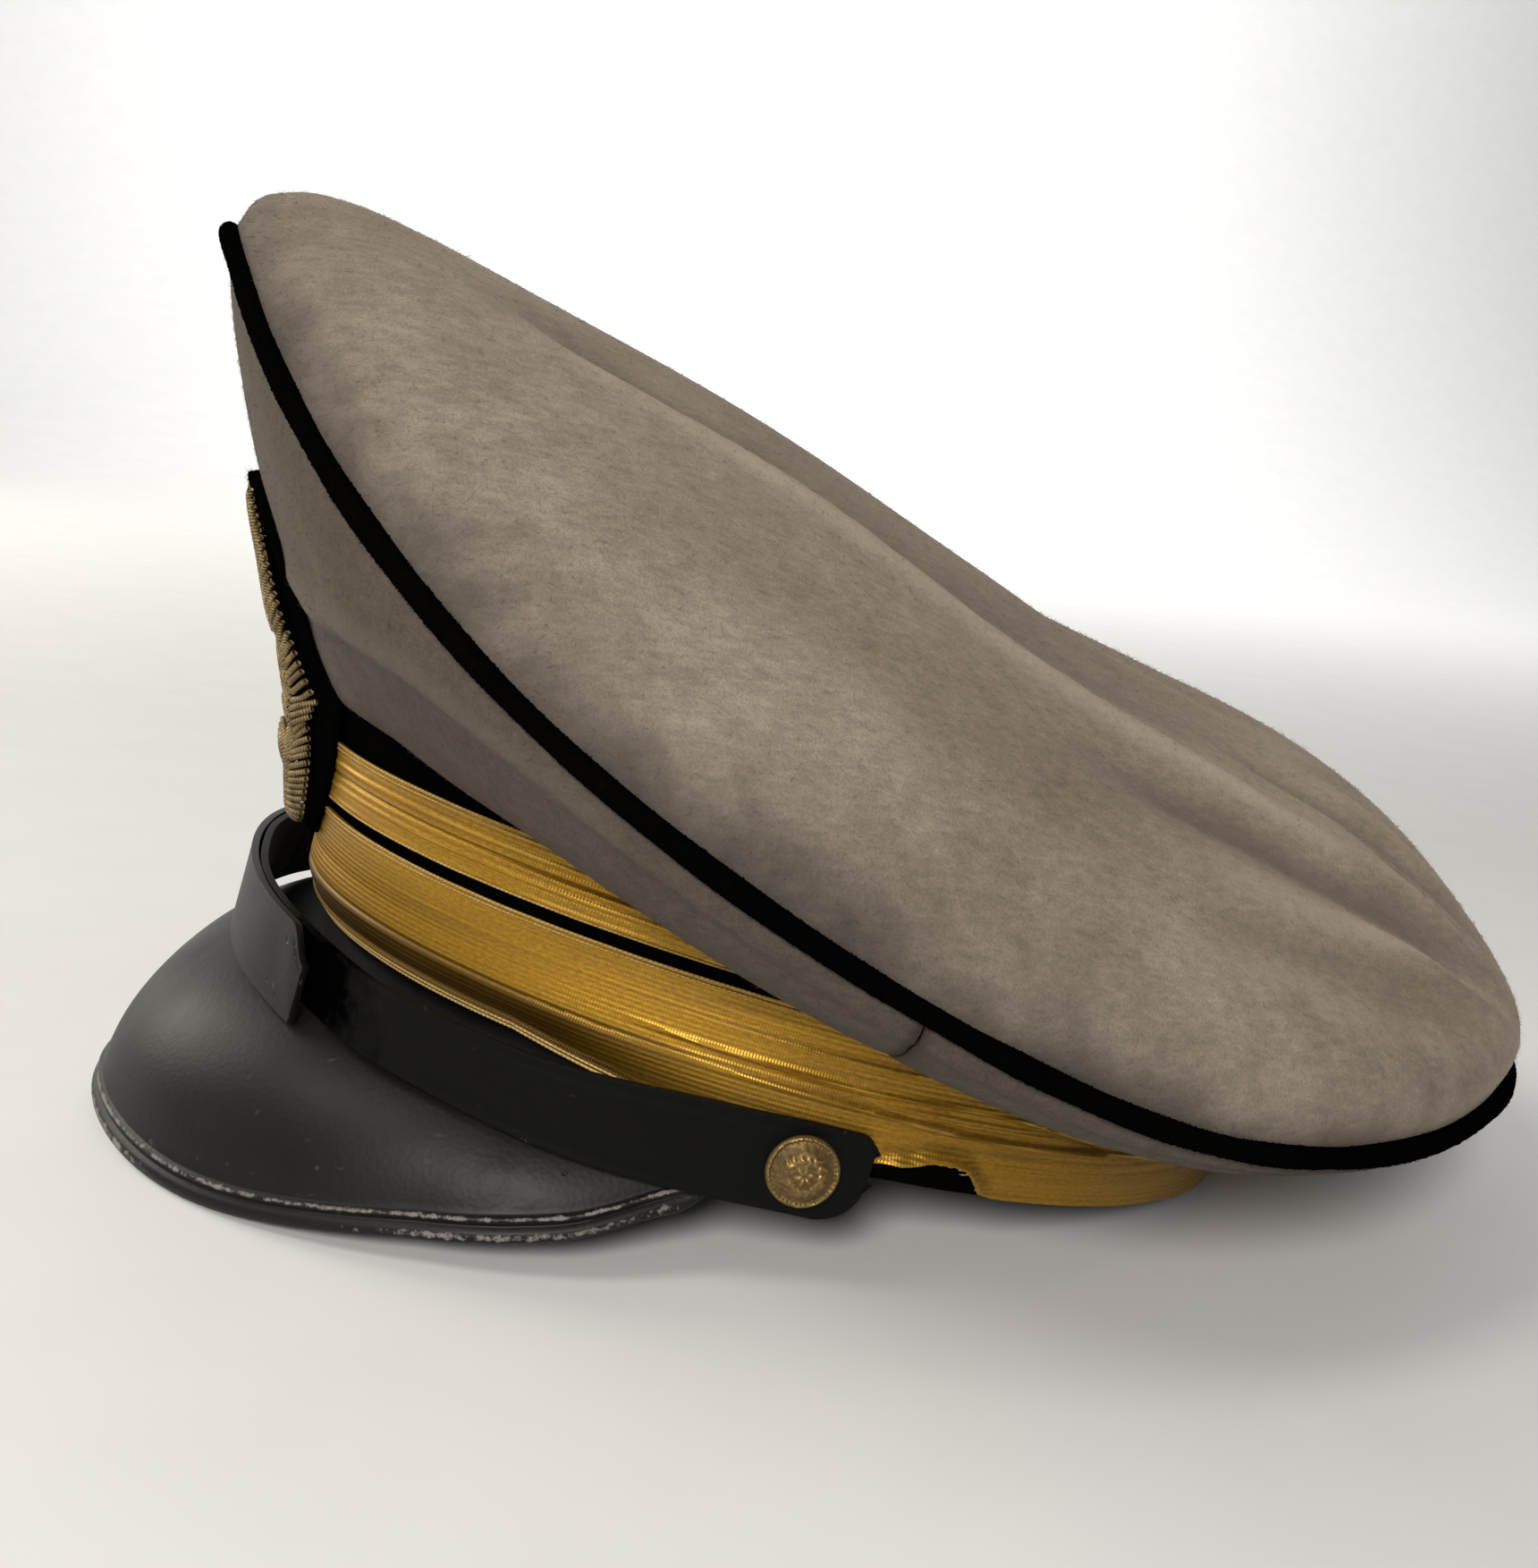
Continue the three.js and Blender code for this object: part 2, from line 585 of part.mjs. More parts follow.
function makeButton(name, side) {
  const r = BUTTON.radius;
  const profile = [
    [0, 0], [r * 0.86, 0], [r, 0.6], [r * 0.98, 1.5], [r * 0.86, 1.7],
    [r * 0.7, 2.6], [r * 0.45, 3.5], [r * 0.2, 4], [0, 4.1],
  ];
  const part = mesh(name, lathe(profile, 24), FINISH.brass);
  const angle = side * BUTTON.angle;
  const outward = ovalNormal(BAND.halfLength, BAND.halfWidth, angle);
  const seat = ovalPoint(BAND.halfLength, BAND.halfWidth, angle, BUTTON.height);
  part.position.copy(seat.addScaledVector(outward, strapStand(angle) + GAP));
  part.quaternion.setFromUnitVectors(new THREE.Vector3(0, 1, 0), outward);
  return part;
}

// Badge
const badgeFace = smooth([...BADGE_LINE].reverse(), 'z', 'y');
const badgeSpread = smooth([...BADGE_LINE].reverse(), 'z', 'spread');
const badgeRoundness = smooth([...BADGE_LINE].reverse(), 'z', 'roundness');

function badgePoint(across, z, stand) {
  const roundness = badgeRoundness(z);
  const bend = (across * across) / (2 * roundness);
  const point = new THREE.Vector3(across, badgeFace(z) + bend, z);
  const slope = badgeFace(z + 0.5) - badgeFace(z - 0.5);
  const normal = new THREE.Vector3(across / roundness, -1, slope).normalize();
  return point.addScaledVector(normal, stand);
}

function makeBadge() {
  const columns = 8;
  const sections = [];
  const top = BADGE_LINE[0].z;
  const foot = BADGE_LINE[BADGE_LINE.length - 1].z;
  const rows = 14;
  for (let i = 0; i <= rows; i++) {
    const z = mix(foot, top, i / rows);
    const half = BADGE.halfWidth * badgeSpread(z);
    const across = Array.from({ length: columns + 1 }, (_, j) => mix(-half, half, j / columns));
    sections.push({
      outer: across.map((x) => badgePoint(x, z, 0)),
      inner: across.map((x) => badgePoint(x, z, -BADGE.wall)),
    });
  }
  return mesh('badge_patch', sheet(sections, false), FINISH.blackCloth);
}

// One padded leaf lying on the patch, pointed at both ends, with a raised middle
function makeLeaf(name, across, z, lean, length) {
  const points = [];
  const faces = [];
  const rim = 10;
  const a = THREE.MathUtils.degToRad(lean);
  const place = (forward, sideways, stand) => {
    const x = across + forward * Math.sin(a) + sideways * Math.cos(a);
    const height = z + forward * Math.cos(a) - sideways * Math.sin(a);
    return badgePoint(x, height, stand);
  };
  for (let i = 0; i < rim; i++) {
    const turn = (i / rim) * 2 * Math.PI;
    const forward = (length / 2) * Math.cos(turn);
    const sideways = (LEAF.width / 2) * Math.sin(turn) * Math.abs(Math.sin(turn)) ** 0.3;
    points.push(place(forward, sideways, GAP));
    points.push(place(0.92 * forward, 0.92 * sideways, GAP + 0.55 * LEAF.relief));
    points.push(place(0.55 * forward, 0.55 * sideways, GAP + 0.95 * LEAF.relief));
  }
  const peak = points.push(place(0, 0, GAP + LEAF.relief)) - 1;
  const base = points.push(place(0, 0, GAP)) - 1;
  for (let i = 0; i < rim; i++) {
    const here = 3 * i;
    const next = 3 * ((i + 1) % rim);
    faces.push([base, here, next]);
    for (let j = 0; j < 2; j++) {
      faces.push([here + j, here + j + 1, next + j + 1], [here + j, next + j + 1, next + j]);
    }
    faces.push([here + 2, peak, next + 2]);
  }
  return mesh(name, closedGeometry(points, faces), FINISH.bullion);
}

function makeBoss() {
  const { radius, relief, z } = BOSS;
  const profile = [[0, 0], [radius, 0], [radius, 0.4 * relief], [0.75 * radius, 0.8 * relief], [0, relief]];
  const seat = badgePoint(0, z, GAP);
  const outward = badgePoint(0, z, 1 + GAP).sub(seat).normalize();
  const part = mesh('badge_boss', lathe(profile, 20), FINISH.bullion);
  part.position.copy(seat);
  part.quaternion.setFromUnitVectors(new THREE.Vector3(0, 1, 0), outward);
  return part;
}

function makeWreath() {
  const leaves = [];
  LEAVES.forEach(({ across, z, lean, length }, i) => {
    leaves.push(makeLeaf(`wreath_leaf_left_${i + 1}`, across, z, lean, length));
    leaves.push(makeLeaf(`wreath_leaf_right_${i + 1}`, -across, z, -lean, length));
  });
  return leaves;
}

// The slope of the line under the whole peak from the foot at the back of the band
function restSlope(peak) {
  const heel = bandPoint(180, BAND.foot, 0);
  const corners = peak.geometry.getAttribute('position');
  let steepest = 0;
  for (let i = 0; i < corners.count; i++) {
    steepest = Math.max(steepest, (heel.z - corners.getZ(i)) / (heel.y - corners.getY(i)));
  }
  return steepest;
}

const peak = makePeak();
const cap = new THREE.Group();
cap.add(...makeBand());
cap.add(makeCrownTop(), ...makeSides(), makePiping());
cap.add(peak, ...makeStrap());
cap.add(makeButton('button_left', 1), makeButton('button_right', -1));
cap.add(makeBadge(), makeBoss(), ...makeWreath());

// The cap leans back on its peak and the back of its band
const tilted = new THREE.Group();
cap.rotation.x = -Math.atan(restSlope(peak));
tilted.add(cap);
tilted.updateMatrixWorld(true);
const box = new THREE.Box3().setFromObject(tilted, true);
const middle = box.getCenter(new THREE.Vector3());
cap.position.set(-middle.x, -middle.y, -box.min.z);

export default tilted;
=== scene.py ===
"""Officer cap: every piece's looks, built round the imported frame.

Places are worked out in the band frame, in millimetres: x to the wearer's left, y to the back and z up
from the lower lace. Angles go round the head in degrees, from the front towards the wearer's left.
"""
import json
import math

import bpy
import numpy as np
from mathutils import Matrix, Vector


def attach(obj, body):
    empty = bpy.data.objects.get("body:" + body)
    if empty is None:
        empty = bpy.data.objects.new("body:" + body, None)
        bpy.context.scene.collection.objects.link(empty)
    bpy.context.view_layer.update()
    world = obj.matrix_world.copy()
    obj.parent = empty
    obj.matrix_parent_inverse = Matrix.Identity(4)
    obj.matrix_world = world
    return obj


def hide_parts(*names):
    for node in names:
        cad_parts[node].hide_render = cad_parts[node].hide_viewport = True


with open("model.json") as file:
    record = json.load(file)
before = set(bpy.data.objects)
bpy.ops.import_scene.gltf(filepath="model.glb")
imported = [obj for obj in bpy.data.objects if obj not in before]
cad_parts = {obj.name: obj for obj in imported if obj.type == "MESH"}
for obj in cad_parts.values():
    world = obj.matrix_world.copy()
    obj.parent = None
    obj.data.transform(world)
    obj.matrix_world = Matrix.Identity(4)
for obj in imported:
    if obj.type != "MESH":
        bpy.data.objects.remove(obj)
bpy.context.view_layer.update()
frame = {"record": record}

bl_info = {
    "name": "Officer Cap",
    "version": (1, 0, 0),
    "blender": (4, 5, 0),
    "location": "View3D > Sidebar > Officer Cap",
    "description": "Builds a worn peaked officer cap piece by piece",
    "category": "Object",
}

MM = 0.001
PHOTO_LONG_SIDE = 1753
PHOTO_FOCAL_PX = 2000

# The cap leans back on its peak: the mount at the back of the band's foot gives the lean and the place
HEEL = frame["record"]["mounts"][0]
LEAN_SIN, LEAN_COS = -HEEL["axis"][1], -HEEL["axis"][2]
HEEL_IN_BAND = (99.0 * MM, -1.6 * MM)
SHIFT_Y = HEEL["pos_m"][1] - LEAN_COS * HEEL_IN_BAND[0] - LEAN_SIN * HEEL_IN_BAND[1]
SHIFT_Z = HEEL["pos_m"][2] + LEAN_SIN * HEEL_IN_BAND[0] - LEAN_COS * HEEL_IN_BAND[1]

# Band and what lies round it
HALF_LENGTH, HALF_WIDTH, EGG = 100.0, 85.0, 0.03
BAND_TOP, BAND_WALL = 45.0, 2.0
BAND_ANGLES = [0, 24, 48, 60, 72, 78, 180]
BAND_TURN_IN = [5.5, 5.5, 5.5, 3.4, 0.8, 0, 0]
BAND_FEET = [3.2, 3.2, 3.2, 1.6, -1.2, -1.6, -1.6]
BAND_FLARE = [6, 5.6, 2.6, 1, 0.2, 0, 0]
TURN_HEIGHT, FLARE_START = 11.0, 16.0
LACE_WALL, LACE_STAND = 1.0, 1.5
LACE_TOP, UPPER_FOOT, UPPER_TOP = 25.0, 27.3, 38.5
SWEAT_STAND, SWEAT_WALL, SWEAT_TOP = -2.5, 1.5, 36.0
# Tear in the lower lace: angle, and how far its foot stands up
TEAR = [
    (86.2, 0), (87.2, 2.6), (89, 3.3), (90.8, 3.6), (92.6, 4.8), (95, 5.2), (97, 4.7), (98.4, 2.6),
    (99.4, 0.7), (101, 0),
]
# Creases along the lower lace: angle and height
UPPER_CREASE = [
    (-180, 12), (-60, 12.5), (20, 15.5), (62, 14.4), (84, 13.6), (101, 13.7), (123, 7.9), (150, 6.5),
    (180, 12),
]
LOWER_CREASE = [
    (-180, 8), (-60, 6.5), (20, 9), (62, 10.6), (84, 10.4), (98, 9.2), (118, 9.1), (150, 11.8), (180, 8),
]
# Length of a lace on its UV map, with the front in its middle
LACE_LENGTH = 588.0
# Loops over the lace's hem and their width in degrees, loose threads at the tear, sweatband stitches
LOOPS, LOOP_WIDTH, FRAYS, STITCHES = 640, 0.17, 26, 170

# Crown: outline, rim heights and the side cloth's handles
CROWN_LENGTH, CROWN_WIDTH, CROWN_BACK = 148.3, 127.5, 4.4
FRONT_POWER, ARCH_POWER, CLOTH_WALL, PIPING_RADIUS, GAP = 2.25, 0.8, 2.0, 2.1, 0.3
# Columns after the angle: the rim's height and the puff at it, then the handles at the rim and the seam
RIM_COLUMNS = ("height", "puff", "rim_out", "rim_down", "seam_out", "seam_up")
RIM = [
    (0, 121.6, 0, -1, 16, 6, 3), (8, 120.2, 0, -1, 16, 6, 2), (17, 114, 0, -1, 17, 7, 0),
    (26, 103, 0.5, -1, 17, 9, -4), (40, 83, 1, 0, 17, 12, -10), (52, 66.5, 1, 0, 15, 12, -14),
    (62, 55, 1.5, 0, 14, 12, -17), (75, 43, 2, 0, 12, 14, -22), (90, 32.8, 3, 0, 10, 16, -27),
    (101, 28.7, 4.5, 0, 8, 18, -27), (111, 28.6, 5.5, 0, 7, 19, -27), (123, 31.2, 6, -1, 6, 19, -27),
    (135, 35.5, 6, -3, 6, 19, -27), (150, 39, 5, -5, 6, 19, -27), (180, 42, 5, -6, 8, 20, -27),
]
RIDGE = [
    (-143.1, 121.6), (-141.5, 126), (-136, 129.8), (-126, 131.3), (-113, 130.3), (-88, 126), (-59, 119.7),
    (-27, 112), (6, 102.5), (22, 98), (54, 93), (99, 85), (124, 73), (140, 56), (148, 48), (151.9, 42),
]
SIDE_SEAM = 80.0
# Pressed line of the side cloth: angle, and its share of the way down from the piping
PRESSED_LINE = [
    (0, 0.62), (23, 0.56), (34, 0.4), (40, 0.3), (45, 0.22), (51, 0.16), (56, 0.12), (66, 0.1), (80, 0.1),
]

# Folds of the crown top: the line seen from above, its width and how far it rises
FOLDS = [
    ([(44, -125), (54, -62), (65, 1), (69, 60), (68, 78), (67, 98), (70, 114)], 7.0, 1.2),
    ([(44, -125), (55, -62), (66, 1), (71, 60), (70, 78), (69, 98), (71, 114)], 1.9, 1.9),
    ([(34, -118), (45, -62), (52, -2), (55, 40)], 7.0, -1.8),
    ([(12, -120), (24, -50), (34, 20), (36, 80)], 6.0, 1.2),
    ([(76, -84), (88, -30), (92, 20)], 9.0, -1.0),
    ([(82, 0), (79, 52), (78, 86), (80, 108)], 4.6, -3.4),
    ([(94, 20), (88, 80), (78, 118)], 5.0, 2.0),
    ([(108, 10), (102, 70), (90, 114)], 6.0, 1.2),
    ([(103, 18), (97, 70), (91, 104)], 4.0, -2.2),
    ([(50, 40), (57, 92), (58, 118)], 3.6, -2.4),
    ([(69, 66), (73, 98), (76, 118)], 2.0, -2.2),
    ([(88, 62), (85, 96), (80, 114)], 1.8, 1.7),
    ([(60, 80), (66, 102), (71, 120)], 2.0, -2.2),
    ([(96, 56), (91, 88), (85, 108)], 1.8, -1.8),
    ([(48, 60), (50, 99), (54, 118)], 4.0, 1.4),
    ([(34, -112), (44, -66), (50, -20)], 5.0, -1.3),
    ([(-46, -100), (-58, 10), (-70, 115)], 9.0, 1.6),
    ([(-70, 20), (-78, 70), (-84, 108)], 5.0, -1.6),
]

# Peak: angle, how far the rim stands out, its drop, and the dips of the two handles
PEAK = [
    (-75, 4.4, 12, 2.5, 5), (-60, 16, 26, 5.5, 9.2), (-45, 25, 35.7, 4, 6.5), (-25, 33, 45.2, 5, 9),
    (0, 38, 46.1, 11, 15.6), (25, 33, 45.2, 11, 13.6), (45, 25, 35.7, 10.5, 13.8), (60, 16, 26, 9.5, 15),
    (75, 4.4, 12, 3, 7),
]
PEAK_WALL, PEAK_INSET, PEAK_BEAD_BAND = 2.4, 2.5, 5.6
PEAK_NEAR, PEAK_FAR = 0.45, 0.98
# Pressed double bead: distance from the rim and how far it stands up
PEAK_BEAD = [
    (0, -0.5), (0.35, 0.2), (1.0, 0.72), (2.2, 0.8), (2.9, 0.45), (3.4, 0.05), (3.9, 0.42), (4.6, 0.7),
    (5.6, 0),
]

# Chin strap: angle, how far its outer face stands off the band, and its lift
STRAP_ROUTE = [
    (-90, 4.1, 0), (-78, 4.1, 0.5), (-60, 8, 3), (-40, 12, 6), (-20, 13.5, 5.5), (0, 12.6, 3.3),
    (20, 12.8, 1.4), (30, 13, 0.4), (45, 10.5, -0.3), (60, 7.5, -0.8), (72, 4.9, -0.5), (80, 4.1, 0),
    (90, 4.1, 0),
]
STRAP_LEATHER, STRAP_WIDTH, STRAP_FOOT, STRAP_END = 1.4, 16.4, -9.7, 87.0
OUTER_END, INNER_END, STRAP_OVERLAP, TIP_NARROWING = 26.0, -24.0, 1.9, 4.0
BUTTON_RADIUS, BUTTON_ANGLE, BUTTON_HEIGHT = 6.9, 80.5, -1.3
BUTTON_STEM, BUTTON_SCALE = 0.86, 0.93
# Steps of the button's dome: inward and up
BUTTON_STEPS = [
    (0.25, 0.3), (0.45, 0.12), (0.3, -0.3), (0.35, 0.16), (0.8, 0.62), (0.9, 0.55), (1.0, 0.45), (1.0, 0.28),
    (0.9, 0.1), (0.6, 0.02),
]

# Badge patch: height, face, spread and roundness
BADGE = [
    (18, -104.1, 0.4, 70), (24, -106.2, 0.66, 72), (32, -109.6, 0.85, 78), (41, -112.8, 0.96, 90),
    (50, -116.2, 1, 115), (59, -119.8, 1, 160), (68, -123.8, 0.93, 220), (76, -127.9, 0.72, 320),
    (81, -130.5, 0.35, 350),
]
BADGE_HALF_WIDTH, BADGE_WALL = 26.0, 1.5
# Middle line of the wreath's sprays, across and up: one place for each leaf
SPRAY_LINE = [(6.8, 23.2), (11.5, 29.6), (14.6, 37.6), (16.4, 47), (16.8, 57), (15, 66.4), (11.4, 74.6)]
LEAF_WIDTH, SPRAY_RELIEF, BOSS_HEIGHT = 6.4, 2.5, 32.5
# Where one spray ends and the next begins, as shares of the line, and the pairs of threads along it
SPRAYS, THREAD_PAIRS = (0.36, 0.62), 42


# Places on the cap

def to_row(points):
    """Band-frame millimetres to the row frame's metres."""
    x, y, z = np.moveaxis(np.asarray(points, float) * MM, -1, 0)
    return np.stack([x, LEAN_COS * y + LEAN_SIN * z + SHIFT_Y, LEAN_COS * z - LEAN_SIN * y + SHIFT_Z], -1)


def turn_to_row(direction):
    x, y, z = direction
    return Vector((x, LEAN_COS * y + LEAN_SIN * z, LEAN_COS * z - LEAN_SIN * y))


def smooth_line(places, values):
    """A curve through the values, level at both ends."""
    places, values = np.array(places, float), np.array(values, float)
    rises = np.diff(values) / np.diff(places)
    slopes = np.concatenate([[0], (rises[1:] + rises[:-1]) / 2, [0]])

    def at(place):
        place = np.clip(place, places[0], places[-1])
        i = np.clip(np.searchsorted(places, place, side="right") - 1, 0, len(rises) - 1)
        span = places[i + 1] - places[i]
        t = (place - places[i]) / span
        eased = t * t * (3 - 2 * t)
        bend = t * (1 - t) ** 2 * slopes[i] - t * t * (1 - t) * slopes[i + 1]
        return values[i] + eased * (values[i + 1] - values[i]) + span * bend

    return at


def columns_of(table):
    return [np.array(column, float) for column in zip(*table)]


def curves_of(table):
    """A curve for each column after the first, which holds the places."""
    first, *others = columns_of(table)
    return [smooth_line(first, column) for column in others]


def run_of(legs):
    """How far along a line each of its points is, from the lengths of its legs."""
    return np.concatenate([[0], np.cumsum(legs)])


def ease(x, start, end):
    t = np.clip((x - start) / (end - start), 0, 1)
    return t * t * (3 - 2 * t)


def hump(x, middle, width):
    return np.exp(-((x - middle) / width) ** 2)


def unit(vectors):
    return vectors / np.maximum(np.linalg.norm(vectors, axis=-1, keepdims=True), 1e-9)


def ripple(x, y, seed, count=7):
    """Smooth unevenness between -1 and 1, the same each run."""
    rng = np.random.default_rng(seed)
    total = 0
    for _ in range(count):
        a, b, phase = rng.uniform(-1, 1), rng.uniform(-1, 1), rng.uniform(0, 2 * math.pi)
        total = total + np.sin(2 * math.pi * (a * x + b * y) + phase)
    return total / count ** 0.5 / 1.4


def fold_angle(angle):
    """The angle from the front, with the right side folded onto the left."""
    turn = np.mod(angle, 360)
    return np.where(turn > 180, 360 - turn, turn)


def all_round(share):
    """The angle at a share of the way round the head, from the back over the right side."""
    return 360 * share - 180


def oval_point(angle, z):
    a = np.radians(angle)
    egg = 1 - EGG * np.cos(a)
    return np.stack([HALF_WIDTH * np.sin(a) * egg, -HALF_LENGTH * np.cos(a), z + 0 * a], -1)


def outward(points_at, angle):
    """Level normal of a line round the cap, pointing out."""
    along = points_at(angle + 0.5) - points_at(angle - 0.5)
    return unit(np.stack([along[..., 1], -along[..., 0], 0 * along[..., 0]], -1))


def oval_normal(angle):
    return outward(lambda a: oval_point(a, 0.0), angle)


band_flare = smooth_line(BAND_ANGLES, BAND_FLARE)


def band_foot(angle):
    return np.interp(fold_angle(angle), BAND_ANGLES, BAND_FEET)


def band_point(angle, z, stand):
    side = fold_angle(angle)
    below = np.clip((TURN_HEIGHT - z) / (TURN_HEIGHT - band_foot(angle)), 0, 1.2)
    inward = np.interp(side, BAND_ANGLES, BAND_TURN_IN) * below ** 1.6
    flare = band_flare(side) * np.maximum((z - FLARE_START) / (BAND_TOP - FLARE_START), 0)
    return oval_point(angle, z) + oval_normal(angle) * (stand - inward + flare)[..., None]


RIM_LINES = dict(zip(RIM_COLUMNS, curves_of(RIM)))
ridge_height = smooth_line(*columns_of(RIDGE))


def crown_outline(angle):
    a = np.radians(angle)
    power = np.where(np.cos(a) > 0, FRONT_POWER, 2)
    reach = (np.abs(np.sin(a)) ** power + np.abs(np.cos(a)) ** power) ** (-1 / power)
    return reach * np.sin(a), reach * np.cos(a)


def rim_point(angle):
    across, forward = crown_outline(angle)
    height = RIM_LINES["height"](fold_angle(angle))
    return np.stack([CROWN_WIDTH * across, CROWN_BACK - CROWN_LENGTH * forward, height], -1)


def rim_normal(angle):
    return outward(rim_point, angle)


def fold_rise(x, y, height):
    """How far the folds lift a place on the crown top. height is the depth of them all."""
    total = np.zeros_like(x)
    for line, width, rise in FOLDS:
        line = np.array(line, float)
        starts, ends = line[:-1], line[1:]
        legs = np.linalg.norm(ends - starts, axis=1)
        before = run_of(legs)
        nearest = np.full(x.shape, 1e9)
        along = np.zeros_like(x)
        for i, leg in enumerate(legs):
            way = (ends[i] - starts[i]) / leg
            run = np.clip((x - starts[i, 0]) * way[0] + (y - starts[i, 1]) * way[1], 0, leg)
            away = np.hypot(x - starts[i, 0] - run * way[0], y - starts[i, 1] - run * way[1])
            closer = away < nearest
            nearest = np.where(closer, away, nearest)
            along = np.where(closer, before[i] + run, along)
        share = along / before[-1]
        fade = ease(share, 0, 0.35) * (1 - 0.35 * ease(share, 0.85, 1))
        total += rise * height * fade * np.exp(-((nearest / width) ** 2))
    return total


def top_point(angle, share, fold_height):
    """Crown top: a share of 0 is the middle and 1 the rim."""
    across, forward = crown_outline(angle)
    edge = PIPING_RADIUS * 0.4
    ahead = share * forward
    power = np.where(ahead > 0, FRONT_POWER, 2)
    half_span = np.maximum(1 - np.abs(ahead) ** power, 1e-6) ** (1 / power)
    x = (CROWN_WIDTH - edge) * share * across
    y = CROWN_BACK - (CROWN_LENGTH - edge) * ahead
    aside = np.minimum(share * np.abs(across) / half_span, 1)
    side_height = RIM_LINES["height"](np.degrees(np.arctan2(half_span, ahead)))
    arch = (1 - aside * aside) ** ARCH_POWER
    seat = PIPING_RADIUS - 0.5 * ease(share, 0.9, 1)
    height = side_height + (ridge_height(y) - side_height) * arch + seat
    height = height + fold_rise(x, y, fold_height) * np.sqrt(arch)
    swell = np.sin(math.pi * share ** 14) * RIM_LINES["puff"](fold_angle(angle))
    return np.stack([x, y, height], -1) + rim_normal(angle) * swell[..., None]


def bezier(share, a, b, c, d):
    t = np.asarray(share)[..., None]
    return (1 - t) ** 3 * a + 3 * (1 - t) ** 2 * t * b + 3 * (1 - t) * t * t * c + t ** 3 * d


def side_point(angle, share):
    """Side cloth: a share of 0 is under the piping and 1 the band's top edge."""
    side = fold_angle(angle)
    line = {name: RIM_LINES[name](side)[..., None] for name in RIM_COLUMNS[2:]}
    out, up = rim_normal(angle), np.array([0.0, 0.0, 1.0])
    start = rim_point(angle) - out * 0.4 * PIPING_RADIUS - up * (PIPING_RADIUS - 0.5)
    end = band_point(angle, BAND_TOP + GAP + 0 * side, 0 * side)
    near_rim = start + out * line["rim_out"] - up * line["rim_down"]
    near_seam = end + oval_normal(angle) * line["seam_out"] + up * line["seam_up"]
    return bezier(share, start, near_rim, near_seam, end)


PEAK_LINES = curves_of(PEAK)


def peak_curve(angle, shares):
    """Points on the peak's face at these shares of the way from root to rim, at one angle."""
    out, drop, near_dip, far_dip = (float(line(angle)) for line in PEAK_LINES)
    foot = band_foot(abs(angle))
    root = band_point(np.array(angle), foot, np.array(-PEAK_INSET))
    root[2] = foot - GAP
    normal, down = oval_normal(np.array(angle)), np.array([0.0, 0.0, -1.0])
    near = root + normal * PEAK_NEAR * out + down * near_dip
    far = root + normal * PEAK_FAR * out + down * far_dip
    points = bezier(np.linspace(0, 1, 240), root, near, far, root + normal * out + down * drop)
    way = run_of(np.linalg.norm(np.diff(points, axis=0), axis=1))
    return np.stack([np.interp(shares * way[-1], way, points[:, i]) for i in range(3)], -1), way[-1]


strap_stand, strap_lift = curves_of(STRAP_ROUTE)
badge_face, badge_spread, badge_roundness = curves_of(BADGE)
pressed_line = smooth_line(*columns_of(PRESSED_LINE))
upper_crease, lower_crease = smooth_line(*columns_of(UPPER_CREASE)), smooth_line(*columns_of(LOWER_CREASE))
FRONT_STEP = 1.5


def front_faces():
    """The front of the cap as seen from ahead: y at each height and place across."""
    angles = np.linspace(-62, 62, 125)
    heights, across = np.arange(14.0, 90.0, FRONT_STEP), np.linspace(-34, 34, 69)
    shares = np.linspace(0, 1, 90)
    side = side_point(angles[:, None] + 0 * shares, shares + 0 * angles[:, None])
    table = np.empty((len(heights), len(across)))
    for row, z in enumerate(heights):
        if z > BAND_TOP:
            line = np.array([[np.interp(-z, -run[:, 2], run[:, k]) for k in (0, 1)] for run in side])
        else:
            line = band_point(angles, z + 0 * angles, LACE_STAND + 0 * angles)[:, :2]
        table[row] = np.interp(across, line[:, 0], line[:, 1])
    return heights, across, table


FRONT = front_faces()


def front_face(x, z):
    heights, across, table = FRONT
    row = np.clip((z - heights[0]) / FRONT_STEP, 0, len(heights) - 1.001)
    column = np.clip(x - across[0], 0, len(across) - 1.001)
    i, j = row.astype(int), column.astype(int)
    p, q = row - i, column - j
    below = (1 - q) * table[i, j] + q * table[i, j + 1]
    above = (1 - q) * table[i + 1, j] + q * table[i + 1, j + 1]
    return (1 - p) * below + p * above


def badge_point(across, z, stand):
    """On the badge patch, whose sides lean back onto the cloth behind."""
    roundness = badge_roundness(z)
    slope = badge_face(z + 0.5) - badge_face(z - 0.5)
    face = badge_face(z) + across * across / (2 * roundness)
    share = np.abs(across) / (BADGE_HALF_WIDTH * badge_spread(z))
    behind = np.maximum(front_face(across, z) - BADGE_WALL - 0.3 - face, 0)
    face = face + behind * ease(share, 0.35, 0.95)
    point = np.stack([across, face, z], -1)
    normal = unit(np.stack([across / roundness, -1 + 0 * z, slope], -1))
    return point + normal * np.asarray(stand)[..., None]


# Modelling

def select_only(piece):
    bpy.ops.object.select_all(action="DESELECT")
    piece.select_set(True)
    bpy.context.view_layer.objects.active = piece


def apply_modifier(piece, kind, **settings):
    select_only(piece)
    modifier = piece.modifiers.new(kind.title(), kind)
    for name, value in settings.items():
        setattr(modifier, name, value)
    bpy.ops.object.modifier_apply(modifier=modifier.name)


